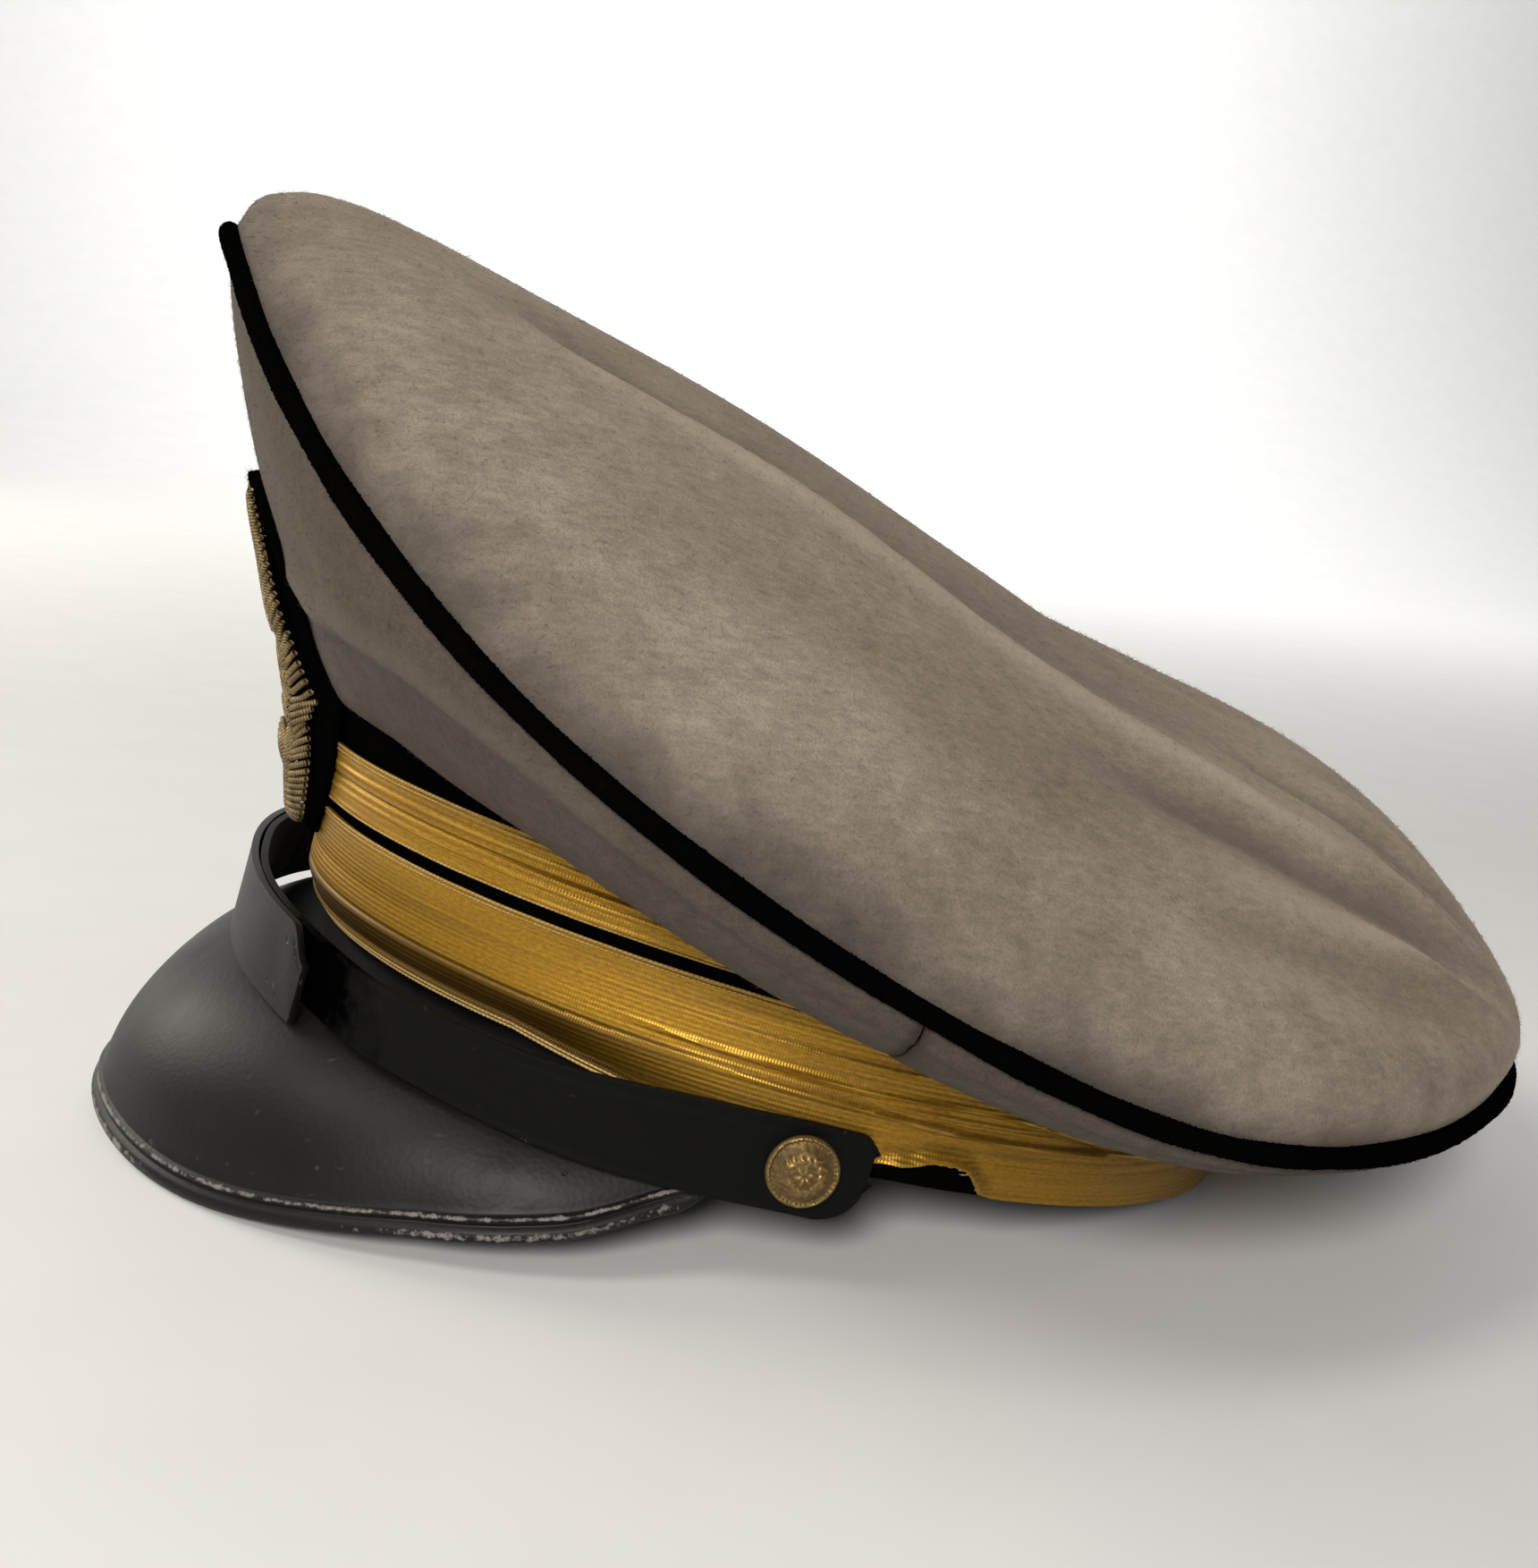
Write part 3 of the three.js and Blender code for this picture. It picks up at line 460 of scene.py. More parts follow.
def edit_all(piece, *steps):
    """Runs edit-mode steps, each an operator and its settings, on the whole piece."""
    select_only(piece)
    bpy.ops.object.mode_set(mode="EDIT")
    bpy.ops.mesh.select_all(action="SELECT")
    for step, settings in steps:
        step(**settings)
    bpy.ops.object.mode_set(mode="OBJECT")


def read(mesh, what, size):
    values = np.empty(len(getattr(mesh, what)) * size, np.float32)
    getattr(mesh, what).foreach_get("co", values)
    return values.reshape(-1, size)


def set_uv(mesh, uv):
    """Gives each corner its vertex's place on the UV map, in mm."""
    layer = mesh.uv_layers[0] if mesh.uv_layers else mesh.uv_layers.new(name="UVMap")
    corner = np.empty(len(mesh.loops), np.int32)
    mesh.loops.foreach_get("vertex_index", corner)
    layer.data.foreach_set("uv", np.asarray(uv, np.float32)[corner].ravel())


def lay_sheet(name, columns, rows, place, pattern, rise=None, mark=None, closed=False):
    """A flat grid laid along place(u, v), lifted off it by rise(u, v), with pattern(u, v) as its UV map.

    mark(u, v) says how much each place is a ridge or, below 0, a groove, which its material can paint lighter
    or darker, mostly as painted highlight and painted shade.
    """
    bpy.ops.object.select_all(action="DESELECT")
    bpy.ops.mesh.primitive_grid_add(x_subdivisions=columns, y_subdivisions=rows, size=2)
    piece = bpy.context.object
    piece.name = piece.data.name = name
    flat = read(piece.data, "vertices", 3)
    order = np.lexsort((flat[:, 0].round(6), flat[:, 1].round(6)))
    shape = (len(set(flat[:, 1].round(6))), len(set(flat[:, 0].round(6))))
    u, v = ((flat[order, :2].astype(float).T + 1) / 2).reshape(2, *shape)
    points = place(u, v)
    if rise is not None:
        ahead = np.gradient(points, axis=1)
        if closed:
            ahead[:, [0, -1]] = ((points[:, 1] - points[:, -2]) / 2)[:, None]
        normal = unit(np.cross(ahead, np.gradient(points, axis=0)))
        points = points + normal * rise(u, v)[..., None]
    moved = np.empty_like(flat)
    moved[order] = to_row(points).reshape(-1, 3)
    piece.data.vertices.foreach_set("co", moved.ravel())
    uv = np.empty((len(flat), 2), np.float32)
    uv[order] = np.stack(pattern(u, v), -1).reshape(-1, 2)
    set_uv(piece.data, uv)
    if mark is not None:
        folds = np.empty(len(flat), np.float32)
        folds[order] = mark(u, v).ravel()
        piece.data.attributes.new("fold", "FLOAT", "POINT").data.foreach_set("value", folds)
    piece.data.update()
    if closed:
        edit_all(piece, (bpy.ops.mesh.remove_doubles, {"threshold": 1e-6}))
    return piece


def give_wall(piece, wall, bevel=0.0):
    """Thickens a sheet inwards and, given a bevel, rounds its edges."""
    apply_modifier(piece, "SOLIDIFY", thickness=wall * MM, offset=-1, use_even_offset=False, use_rim=True)
    if bevel:
        edges = {"limit_method": "ANGLE", "angle_limit": math.radians(55)}
        apply_modifier(piece, "BEVEL", width=bevel * MM, segments=2, **edges)


def finish_piece(piece, material, nodes=(), sharp=None):
    select_only(piece)
    if sharp:
        bpy.ops.object.shade_smooth_by_angle(angle=math.radians(sharp))
    else:
        bpy.ops.object.shade_smooth()
    piece.data.materials.clear()
    piece.data.materials.append(material)
    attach(piece, "root")
    if nodes:
        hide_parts(*nodes)
    return piece


def mesh_piece(name, points, faces, uv=None):
    """A piece from row-frame points, for what is repeated hundreds of times."""
    mesh = bpy.data.meshes.new(name)
    mesh.from_pydata(points.tolist(), [], faces)
    if uv is not None:
        set_uv(mesh, uv)
    piece = bpy.data.objects.new(name, mesh)
    bpy.context.scene.collection.objects.link(piece)
    return piece


def lay_cords(name, paths, radius, sides=6, closed=False):
    """Round cords along paths: cords by stations by three, in the band frame. radius may vary by station."""
    paths = np.asarray(paths, float)
    count, stations = paths.shape[:2]
    if closed:
        ahead = np.roll(paths, -1, 1) - np.roll(paths, 1, 1)
    else:
        ahead = np.gradient(paths, axis=1)
    ahead = unit(ahead)
    aside = unit(np.cross(ahead, np.array([0.31, 0.17, 0.93])))
    above = np.cross(aside, ahead)
    turn = np.linspace(0, 2 * math.pi, sides, endpoint=False)
    radius = np.broadcast_to(radius, (count, stations))[..., None, None]
    spokes = np.cos(turn)[:, None] * aside[:, :, None] + np.sin(turn)[:, None] * above[:, :, None]
    ring = paths[:, :, None] + radius * spokes
    number = np.arange(count * stations * sides).reshape(count, stations, sides)
    here = number if closed else number[:, :-1]
    nxt = np.roll(number, -1, 1) if closed else number[:, 1:]
    quads = np.stack([here, nxt, np.roll(nxt, -1, 2), np.roll(here, -1, 2)], -1)[..., ::-1].reshape(-1, 4)
    faces = quads.tolist()
    if not closed:
        faces += number[:, 0].tolist() + number[:, -1, ::-1].tolist()
    legs = np.linalg.norm(np.diff(paths, axis=1), axis=2)
    run = np.concatenate([np.zeros((count, 1)), np.cumsum(legs, 1)], 1)
    uv = np.stack(np.broadcast_arrays(run[..., None], turn * 1.0), -1).reshape(-1, 2)
    return mesh_piece(name, to_row(ring).reshape(-1, 3), faces, uv)


def lay_fibres(name, piece, count, length, width, upright, seed, keep=None):
    """Short wool fibres standing on a piece's outer faces, each a slender closed spike."""
    rng = np.random.default_rng(seed)
    mesh = piece.data
    mesh.calc_loop_triangles()
    corners, loops = np.empty((2, len(mesh.loop_triangles) * 3), np.int32)
    mesh.loop_triangles.foreach_get("vertices", corners)
    mesh.loop_triangles.foreach_get("loops", loops)
    drawn = np.empty(len(mesh.loops) * 2, np.float32)
    mesh.uv_layers[0].data.foreach_get("uv", drawn)
    drawn = drawn.reshape(-1, 2)[loops.reshape(-1, 3)]
    places = read(mesh, "vertices", 3).astype(float)
    tri = places[corners.reshape(-1, 3)]
    cross = np.cross(tri[:, 1] - tri[:, 0], tri[:, 2] - tri[:, 0])
    area = np.linalg.norm(cross, axis=1)
    if keep is not None:
        area = area * keep(tri.mean(1), unit(cross))
    pick = rng.choice(len(tri), count, p=area / area.sum())
    a, b = rng.random((2, count, 1))
    a, b = np.where(a + b > 1, 1 - a, a), np.where(a + b > 1, 1 - b, b)
    root = tri[pick, 0] + a * (tri[pick, 1] - tri[pick, 0]) + b * (tri[pick, 2] - tri[pick, 0])
    normal = unit(cross[pick])
    lean = unit(np.cross(normal, rng.normal(size=(count, 3))))
    way = unit(normal * upright * rng.uniform(0.3, 1.6, (count, 1)) + lean)
    aside = unit(np.cross(way, normal + 1e-3))
    above = np.cross(aside, way)
    size = rng.uniform(0.6, 1.3, (count, 1)) * width * MM
    tip = root + way * rng.uniform(0.45, 1.25, (count, 1)) * length * MM
    root = root - normal * 0.1 * MM
    points = [root + size * (math.cos(t) * aside + math.sin(t) * above) for t in (0, 2.094, 4.189)] + [tip]
    points = np.stack(points, 1).reshape(-1, 3)
    first = 4 * np.arange(count)[:, None, None]
    faces = (first + np.array([[0, 1, 3], [1, 2, 3], [2, 0, 3], [0, 2, 1]])).reshape(-1, 3)
    return mesh_piece(name, points, faces.tolist(), np.repeat(drawn[pick, 0], 4, 0))


def grow_nap(name, cloth, look, count, longer, width, upright, seed, keep=None):
    """Covers a cloth in loose fibres. longer times the setting is their length."""
    length = 1000 * longer * sizes().fibre_length
    nap = lay_fibres(name, cloth, count, length, width, upright, seed, keep)
    finish_piece(nap, look, sharp=30)


# Materials

def add_node(tree, kind, inputs=None, **settings):
    node = tree.nodes.new(kind)
    for name, value in settings.items():
        setattr(node, name, value)
    for key, value in (inputs or {}).items():
        if isinstance(value, bpy.types.NodeSocket):
            tree.links.new(value, node.inputs[key])
        else:
            node.inputs[key].default_value = value
    return node


def sums(tree, operation, *values, clamp=False):
    """One sum on two values or sockets."""
    node = add_node(tree, "ShaderNodeMath", dict(enumerate(values)), operation=operation, use_clamp=clamp)
    return node.outputs[0]


def remap(tree, value, low, high, to_low=0.0, to_high=1.0):
    inputs = {"Value": value, "From Min": low, "From Max": high, "To Min": to_low, "To Max": to_high}
    return add_node(tree, "ShaderNodeMapRange", inputs).outputs["Result"]


def noise(tree, vector, scale, detail=3.0, roughness=0.55):
    inputs = {"Vector": vector, "Scale": scale, "Detail": detail, "Roughness": roughness}
    return add_node(tree, "ShaderNodeTexNoise", inputs).outputs["Fac"]


def stretch(tree, vector, scale, rotation=(0, 0, 0)):
    inputs = {"Vector": vector, "Scale": scale, "Rotation": rotation}
    return add_node(tree, "ShaderNodeMapping", inputs).outputs["Vector"]


def blend_colours(tree, share, first, second, kind="MIX"):
    node = add_node(tree, "ShaderNodeMix", {0: share, 6: first, 7: second}, data_type="RGBA", blend_type=kind)
    return node.outputs[2]


def split(tree, vector):
    """The X, Y and Z of a vector."""
    return add_node(tree, "ShaderNodeSeparateXYZ", {0: vector}).outputs


def away_from(tree, value, middle):
    """How far a value is from a middle, on either side of it."""
    return sums(tree, "ABSOLUTE", sums(tree, "SUBTRACT", value, middle))


def distance_to(tree, map_place, u, v):
    """How far a place on the UV map is from u, v."""
    inputs = {0: map_place, 1: (u, v, 0)}
    return add_node(tree, "ShaderNodeVectorMath", inputs, operation="DISTANCE").outputs["Value"]


def fold_marks(tree):
    """How much each place is a ridge or, below 0, a groove."""
    return add_node(tree, "ShaderNodeAttribute", attribute_name="fold").outputs["Fac"]


def brighten(tree, shade, factor):
    inputs = {"Red": factor, "Green": factor, "Blue": factor}
    grey = add_node(tree, "ShaderNodeCombineColor", inputs).outputs["Color"]
    return blend_colours(tree, 1.0, shade, grey, "MULTIPLY")


def colour(value):
    return (*value[:3], 1.0)


def tinted(value, *factors):
    """A colour times one factor, or times one for each channel."""
    factors = factors if len(factors) == 3 else 3 * factors
    return (*(min(channel * factor, 1.0) for channel, factor in zip(value, factors)), 1.0)


def start_group(name, inputs, outputs):
    group = bpy.data.node_groups.new(name, "ShaderNodeTree")
    for label, kind, value in inputs:
        socket = group.interface.new_socket(name=label, in_out="INPUT", socket_type="NodeSocket" + kind)
        if value is not None:
            socket.default_value = value
    for label, kind in outputs:
        group.interface.new_socket(name=label, in_out="OUTPUT", socket_type="NodeSocket" + kind)
    return group, group.nodes.new("NodeGroupInput").outputs, group.nodes.new("NodeGroupOutput").inputs


def close_group(group, out, **results):
    for label, value in results.items():
        group.links.new(value, out[label])
    return group


def use_group(tree, name, inputs):
    """Places a shared group, which is built the first time."""
    group = bpy.data.node_groups.get(name) or GROUP_MAKERS[name]()
    return add_node(tree, "ShaderNodeGroup", inputs, node_tree=group).outputs


def wool_group():
    """Brushed wool: broad mottling, middle clouds, and fine fibres lying to the back."""
    inputs = [
        ("Vector", "Vector", None), ("Base", "Color", (0.3, 0.26, 0.2, 1)),
        ("Worn", "Color", (0.4, 0.34, 0.27, 1)),
    ]
    outputs = [("Color", "Color"), ("Roughness", "Float"), ("Height", "Float")]
    group, given, out = start_group("Brushed wool", inputs, outputs)
    vector = given["Vector"]
    broad = noise(group, vector, 17.0)
    middle = noise(group, vector, 95.0, 4.0, 0.6)
    fibres = noise(group, stretch(group, vector, (1, 0.32, 1), (0, 0, 0.35)), 680.0, 3.0, 0.62)
    grain = noise(group, vector, 2300.0, 2.0)
    mottled = remap(group, broad, 0.32, 0.68, 0, 0.62)
    share = sums(group, "ADD", mottled, remap(group, middle, 0.3, 0.7, 0, 0.38), clamp=True)
    shade = blend_colours(group, share, given["Base"], given["Worn"])
    speck = sums(group, "MULTIPLY", *(remap(group, part, 0.3, 0.7, 0.84, 1.16) for part in (fibres, grain)))
    rough = remap(group, fibres, 0.3, 0.7, 0.86, 0.98)
    height = sums(group, "ADD", sums(group, "MULTIPLY", fibres, 0.65), sums(group, "MULTIPLY", middle, 0.8))
    height = sums(group, "ADD", height, sums(group, "MULTIPLY", grain, 0.3))
    return close_group(group, out, Color=brighten(group, shade, speck), Roughness=rough, Height=height)


def lace_group():
    """Woven metal lace on a UV map in mm: lengthwise ribs, upright threads and tarnish along the ribs."""
    inputs = [
        ("Map", "Vector", None), ("Gold", "Color", (0.46, 0.26, 0.05, 1)),
        ("Tarnish", "Color", (0.1, 0.05, 0.01, 1)), ("Rib pitch", "Float", 0.7),
        ("Thread pitch", "Float", 0.5), ("Wear", "Float", 0.4),
    ]
    outputs = [("Color", "Color"), ("Roughness", "Float"), ("Metal", "Float"), ("Height", "Float")]
    group, given, out = start_group("Metal lace", inputs, outputs)
    place = split(group, given["Map"])
    across = sums(group, "MULTIPLY", sums(group, "DIVIDE", place["Y"], given["Rib pitch"]), 2 * math.pi)
    ribs = sums(group, "MULTIPLY_ADD", sums(group, "SINE", across), 0.5, 0.5)
    along = sums(group, "MULTIPLY", sums(group, "DIVIDE", place["X"], given["Thread pitch"]), math.pi)
    threads = sums(group, "ABSOLUTE", sums(group, "SINE", along))
    streaks = noise(group, stretch(group, given["Map"], (0.008, 1.1, 1)), 1.0, 3.0, 0.6)
    blots = noise(group, stretch(group, given["Map"], (0.03, 0.16, 1)), 1.0, 3.0)
    glints = noise(group, stretch(group, given["Map"], (0.9, 2.4, 1)), 1.0, 2.0)
    streaked = remap(group, streaks, 0.35, 0.65, -0.25, 0.5)
    dull = sums(group, "ADD", streaked, remap(group, blots, 0.38, 0.66, -0.14, 0.3))
    dull = sums(group, "SUBTRACT", dull, sums(group, "MULTIPLY", ribs, 0.17))
    dull = sums(group, "ADD", dull, given["Wear"], clamp=True)
    shade = blend_colours(group, dull, given["Gold"], given["Tarnish"])
    woven = remap(group, threads, 0, 1, 0.92, 1.04)
    light = sums(group, "MULTIPLY", woven, remap(group, glints, 0.3, 0.75, 0.8, 1.35))
    rough = remap(group, dull, 0, 1, 0.4, 0.72)
    metal = remap(group, dull, 0, 1, 0.7, 0.25)
    height = sums(group, "ADD", sums(group, "MULTIPLY", ribs, 0.6), sums(group, "MULTIPLY", threads, 0.3))
    shade = brighten(group, shade, light)
    return close_group(group, out, Color=shade, Roughness=rough, Metal=metal, Height=height)


def leather_group():
    """Leather with a fine grain, cloudy polish and pale scuffs where Wear is high."""
    inputs = [
        ("Vector", "Vector", None), ("Base", "Color", (0.02, 0.02, 0.02, 1)),
        ("Scuff", "Color", (0.3, 0.29, 0.27, 1)), ("Wear", "Float", 0.0), ("Gloss", "Float", 0.35),
    ]
    outputs = [("Color", "Color"), ("Roughness", "Float"), ("Height", "Float")]
    group, given, out = start_group("Worn leather", inputs, outputs)
    vector = given["Vector"]
    clouds = noise(group, vector, 26.0, 4.0)
    grain = add_node(group, "ShaderNodeTexVoronoi", {"Vector": vector, "Scale": 950.0}).outputs["Distance"]
    flecks = noise(group, vector, 520.0, 4.0, 0.7)
    scratches = noise(group, stretch(group, vector, (1, 0.12, 1), (0.4, 0.2, 0.9)), 420.0, 2.0)
    cloudy = sums(group, "MULTIPLY_ADD", clouds, 0.12, -0.06)
    reach = sums(group, "MULTIPLY_ADD", given["Wear"], 0.36, cloudy)
    scuffed = remap(group, sums(group, "ADD", flecks, reach), 0.74, 0.9)
    scratched = sums(group, "MULTIPLY", remap(group, scratches, 0.7, 0.8), 0.16)
    share = sums(group, "MAXIMUM", scuffed, scratched, clamp=True)
    shade = brighten(group, given["Base"], remap(group, clouds, 0.3, 0.7, 0.75, 1.35))
    shade = blend_colours(group, share, shade, given["Scuff"])
    rough = sums(group, "ADD", given["Gloss"], remap(group, clouds, 0.3, 0.7, -0.06, 0.1))
    rough = sums(group, "MULTIPLY_ADD", share, 0.35, rough)
    worn_down = sums(group, "MULTIPLY", share, 0.25)
    height = sums(group, "SUBTRACT", sums(group, "MULTIPLY", grain, 0.6), worn_down)
    return close_group(group, out, Color=shade, Roughness=rough, Height=height)


GROUP_MAKERS = {"Brushed wool": wool_group, "Metal lace": lace_group, "Worn leather": leather_group}


def start_material(name):
    material = bpy.data.materials.new(name)
    material.use_nodes = True
    tree = material.node_tree
    tree.nodes.clear()
    return material, tree


def places(tree):
    return add_node(tree, "ShaderNodeTexCoord").outputs


def close_material(tree, base, rough, height, relief, metal=None, **constants):
    """Ends a material in one Principled shader. relief is the bump's depth in mm."""
    bump = add_node(tree, "ShaderNodeBump", {"Height": height, "Strength": 1.0, "Distance": relief * MM})
    inputs = {"Base Color": base, "Roughness": rough, "Normal": bump.outputs["Normal"]}
    if metal is not None:
        inputs["Metallic"] = metal
    for label, value in constants.items():
        inputs[label.replace("_", " ")] = value
    shader = add_node(tree, "ShaderNodeBsdfPrincipled", inputs)
    end = tree.nodes.new("ShaderNodeOutputMaterial")
    tree.links.new(shader.outputs[0], end.inputs["Surface"])


def wool_material(name, base, worn, sheen, relief, rim_darkening=0.0, shine=0.15):
    """Wool, painted lighter on ridges and darker in grooves. It can also grow darker towards the piping,
    where its UV map's height, in mm from the rim, is small, and then far in from the rim it is painted darker
    as painted shade.
    """
    material, tree = start_material(name)
    given = places(tree)
    inputs = {"Vector": given["Object"], "Base": colour(base), "Worn": colour(worn)}
    wool = use_group(tree, "Brushed wool", inputs)
    fold = fold_marks(tree)
    # Ridges are painted lighter, partly as rubbed nap and partly as painted highlight; grooves are painted
    # darker as painted shade.
    shade = blend_colours(tree, remap(tree, fold, 0.3, 3.2, 0.0, 0.7), wool["Color"], tinted(worn, 1.3))
    shade = blend_colours(tree, remap(tree, fold, -0.2, -4.0, 0.0, 0.7), shade, tinted(base, 0.5))
    if rim_darkening:
        place = split(tree, given["UV"])
        clouds = noise(tree, given["Object"], 70.0, 4.0)
        behind = remap(tree, place["X"], 540.0, 630.0, 0.0, 7.0)
        reach = sums(tree, "ADD", place["Y"], behind)
        reach = sums(tree, "ADD", reach, sums(tree, "MULTIPLY_ADD", clouds, 10.0, -5.0))
        patches = remap(tree, noise(tree, given["Object"], 120.0, 5.0, 0.62), 0.44, 0.72)
        layers = [
            # Painted shade: from about 48 mm in from the rim towards the crown's middle, the wool is painted
            # a little darker.
            (remap(tree, place["Y"], 48.0, 88.0, 0.0, 0.36), (0.62, 0.6, 0.57)),
            (sums(tree, "MULTIPLY", patches, remap(tree, reach, 6.0, 32.0, 0.3, 0.03)), (0.42, 0.38, 0.30)),
            # Darker towards the piping: grey within about 15 mm of the rim and almost black right at it, less
            # so from the left side round to the back.
            (remap(tree, reach, 1.0, 15.0, 0.6 * rim_darkening, 0.0), (0.30, 0.33, 0.36)),
            (remap(tree, reach, -3.0, 6.0, 1.15 * rim_darkening, 0.0), (0.17, 0.19, 0.22)),
        ]
        for share, tint in layers:
            shade = blend_colours(tree, share, shade, tinted(base, *tint))
    cloth = {"Sheen_Weight": sheen, "Sheen_Roughness": 0.45, "Sheen_Tint": colour(worn)}
    close_material(tree, shade, wool["Roughness"], wool["Height"], relief, Specular_IOR_Level=shine, **cloth)
    return material


def lace_material(name, gold, tarnish, rib, thread, wear, turned_in=False):
    """Metal lace, with painted highlights on its ridges and painted shade in its grooves. One that is turned
    in has its foot at the front painted darker, as painted shade where it turns under.
    """
    material, tree = start_material(name)
    given = places(tree)
    inputs = {
        "Map": given["UV"], "Gold": colour(gold), "Tarnish": colour(tarnish),
        "Rib pitch": rib, "Thread pitch": thread, "Wear": wear,
    }
    lace = use_group(tree, "Metal lace", inputs)
    fold, pale = fold_marks(tree), tinted(gold, 1.8, 2.0, 4.0)
    # Painted highlight: ridges painted pale gold. Painted shade: grooves painted dark tarnish.
    shade = blend_colours(tree, remap(tree, fold, 0.2, 1.1, 0.0, 0.8), lace["Color"], pale)
    shade = blend_colours(tree, remap(tree, fold, -0.2, -1.1, 0.0, 0.75), shade, tinted(tarnish, 0.4))
    if turned_in:
        # Painted shade: the turned-in foot below the front crease is painted dark tarnish, where it curls
        # under.
        place = split(tree, given["UV"])
        front = remap(tree, away_from(tree, place["X"], LACE_LENGTH / 2), 88.0, 118.0, 0.9, 0.15)
        below = sums(tree, "MULTIPLY", remap(tree, place["Y"], 10.6, 11.7, 1.0, 0.0), front)
        shade = blend_colours(tree, below, shade, tinted(tarnish, 0.62))
    rough, height, metal = lace["Roughness"], lace["Height"], lace["Metal"]
    close_material(tree, shade, rough, height, 0.09, metal, Specular_IOR_Level=0.4)
    return material


# The first colour is painted shade inside pinholes, the second is for painted shadows on leather.
HOLE_COLOUR, PAINTED_SHADOW_COLOUR = (0.002, 0.002, 0.002, 1), (0.0004, 0.0004, 0.0004, 1)


def leather_material(name, base, scuff, gloss, wear=None, relief=0.05, marks=(), patches=(), shine=0.4,
                     edge=1.0):
    """wear(tree, u, v) gives the scuffs' mask from the UV map. Marks are pinholes on it, painted dark as the
    shade inside them,
    and patches are painted shadows: soft dark places, u, v, radius, made black metal so that they lose their
    gloss. An edge below 1 dulls the gloss, most of all on the patches' slopes."""
    material, tree = start_material(name)
    given = places(tree)
    inputs = {"Vector": given["Object"], "Base": colour(base), "Scuff": colour(scuff), "Gloss": gloss}
    if wear is not None:
        place = split(tree, given["UV"])
        inputs["Wear"] = wear(tree, place["X"], place["Y"])
    leather = use_group(tree, "Worn leather", inputs)
    shade, height = leather["Color"], leather["Height"]
    # Painted shade: each pinhole is a dent painted near black, as the shade inside the hole.
    for u, v, radius in marks:
        inside = remap(tree, distance_to(tree, given["UV"], u, v), 0.6 * radius, radius, 1.0, 0.0)
        shade = blend_colours(tree, inside, shade, HOLE_COLOUR)
        height = sums(tree, "SUBTRACT", height, sums(tree, "MULTIPLY", inside, 3.0))
    matt = None
    # Painted shadows: each patch is painted near black and made metal, so that it loses its gloss.
    for u, v, radius in patches:
        away = distance_to(tree, given["UV"], u, v)
        ragged = sums(tree, "MULTIPLY_ADD", noise(tree, given["Object"], 240.0, 4.0), radius, away)
        dark = remap(tree, ragged, radius, 1.7 * radius, 0.97, 0.0)
        shade = blend_colours(tree, dark, shade, PAINTED_SHADOW_COLOUR)
        matt = dark if matt is None else sums(tree, "MAXIMUM", matt, dark)
    gleam = {"Specular_IOR_Level": shine, "Specular_Tint": (edge, edge, edge, 1)}
    close_material(tree, shade, leather["Roughness"], height, relief, matt, **gleam)
    return material


def thread_material(name, bright, dull, twist, metal, relief):
    """Twisted thread on a UV map whose x is mm along and y the turn about it."""
    material, tree = start_material(name)
    given = places(tree)
    place = split(tree, given["UV"])
    turns = sums(tree, "ADD", sums(tree, "MULTIPLY", place["X"], 2 * math.pi / twist), place["Y"])
    coil = sums(tree, "MULTIPLY_ADD", sums(tree, "SINE", turns), 0.5, 0.5)
    specks = remap(tree, noise(tree, given["Object"], 420.0, 3.0), 0.3, 0.7, -0.1, 0.6)
    share = sums(tree, "ADD", specks, sums(tree, "MULTIPLY_ADD", coil, -0.5, 0.45), clamp=True)
    shade = blend_colours(tree, share, colour(bright), colour(dull))
    close_material(tree, shade, remap(tree, share, 0, 1, 0.42, 0.7), coil, relief, metal)
    return material


def brass_material(name, bright, dull):
    """Aged brass: bright where the relief stands up, dull and greenish in its hollows."""
    material, tree = start_material(name)
    given = places(tree)
    hollow = remap(tree, split(tree, given["UV"])["Y"], 0.02, 0.3, 0.72, -0.05)
    specks = noise(tree, given["Object"], 1500.0, 4.0, 0.65)
    clouds = noise(tree, given["Object"], 190.0, 3.0)
    share = sums(tree, "ADD", remap(tree, specks, 0.35, 0.65, -0.15, 0.3), hollow)
    share = sums(tree, "ADD", share, remap(tree, clouds, 0.3, 0.7, -0.2, 0.2), clamp=True)
    shade = blend_colours(tree, share, colour(bright), colour(dull))
    rough, metal = remap(tree, share, 0, 1, 0.36, 0.68), remap(tree, share, 0, 1, 0.9, 0.45)
    close_material(tree, shade, rough, specks, 0.08, metal)
    return material


# Settings

def length_setting(name, description, default):
    return bpy.props.FloatProperty(name=name, description=description, default=default, unit="LENGTH")


def colour_setting(name, description, default):
    limits = {"size": 3, "min": 0, "max": 1, "subtype": "COLOR"}
    return bpy.props.FloatVectorProperty(name=name, description=description, default=default, **limits)


class OfficerCapSizes(bpy.types.PropertyGroup):
    """Sizes that a user would change."""

    fold_height: bpy.props.FloatProperty(
        name="Fold height", description="How strongly the crown's folds show", default=1.0,
        min=0.0, max=2.0, subtype="FACTOR")
    lace_crease: length_setting("Lace crease", "Height of the creases along the lower lace", 0.0005)
    fibre_length: length_setting("Fibre length", "Length of the wool's loose fibres", 0.0011)
    bullion_radius: length_setting("Bullion radius", "Radius of the badge's twisted threads", 0.00064)
    stitch_length: length_setting("Stitch length", "Length of one stitch in the sweatband", 0.0024)


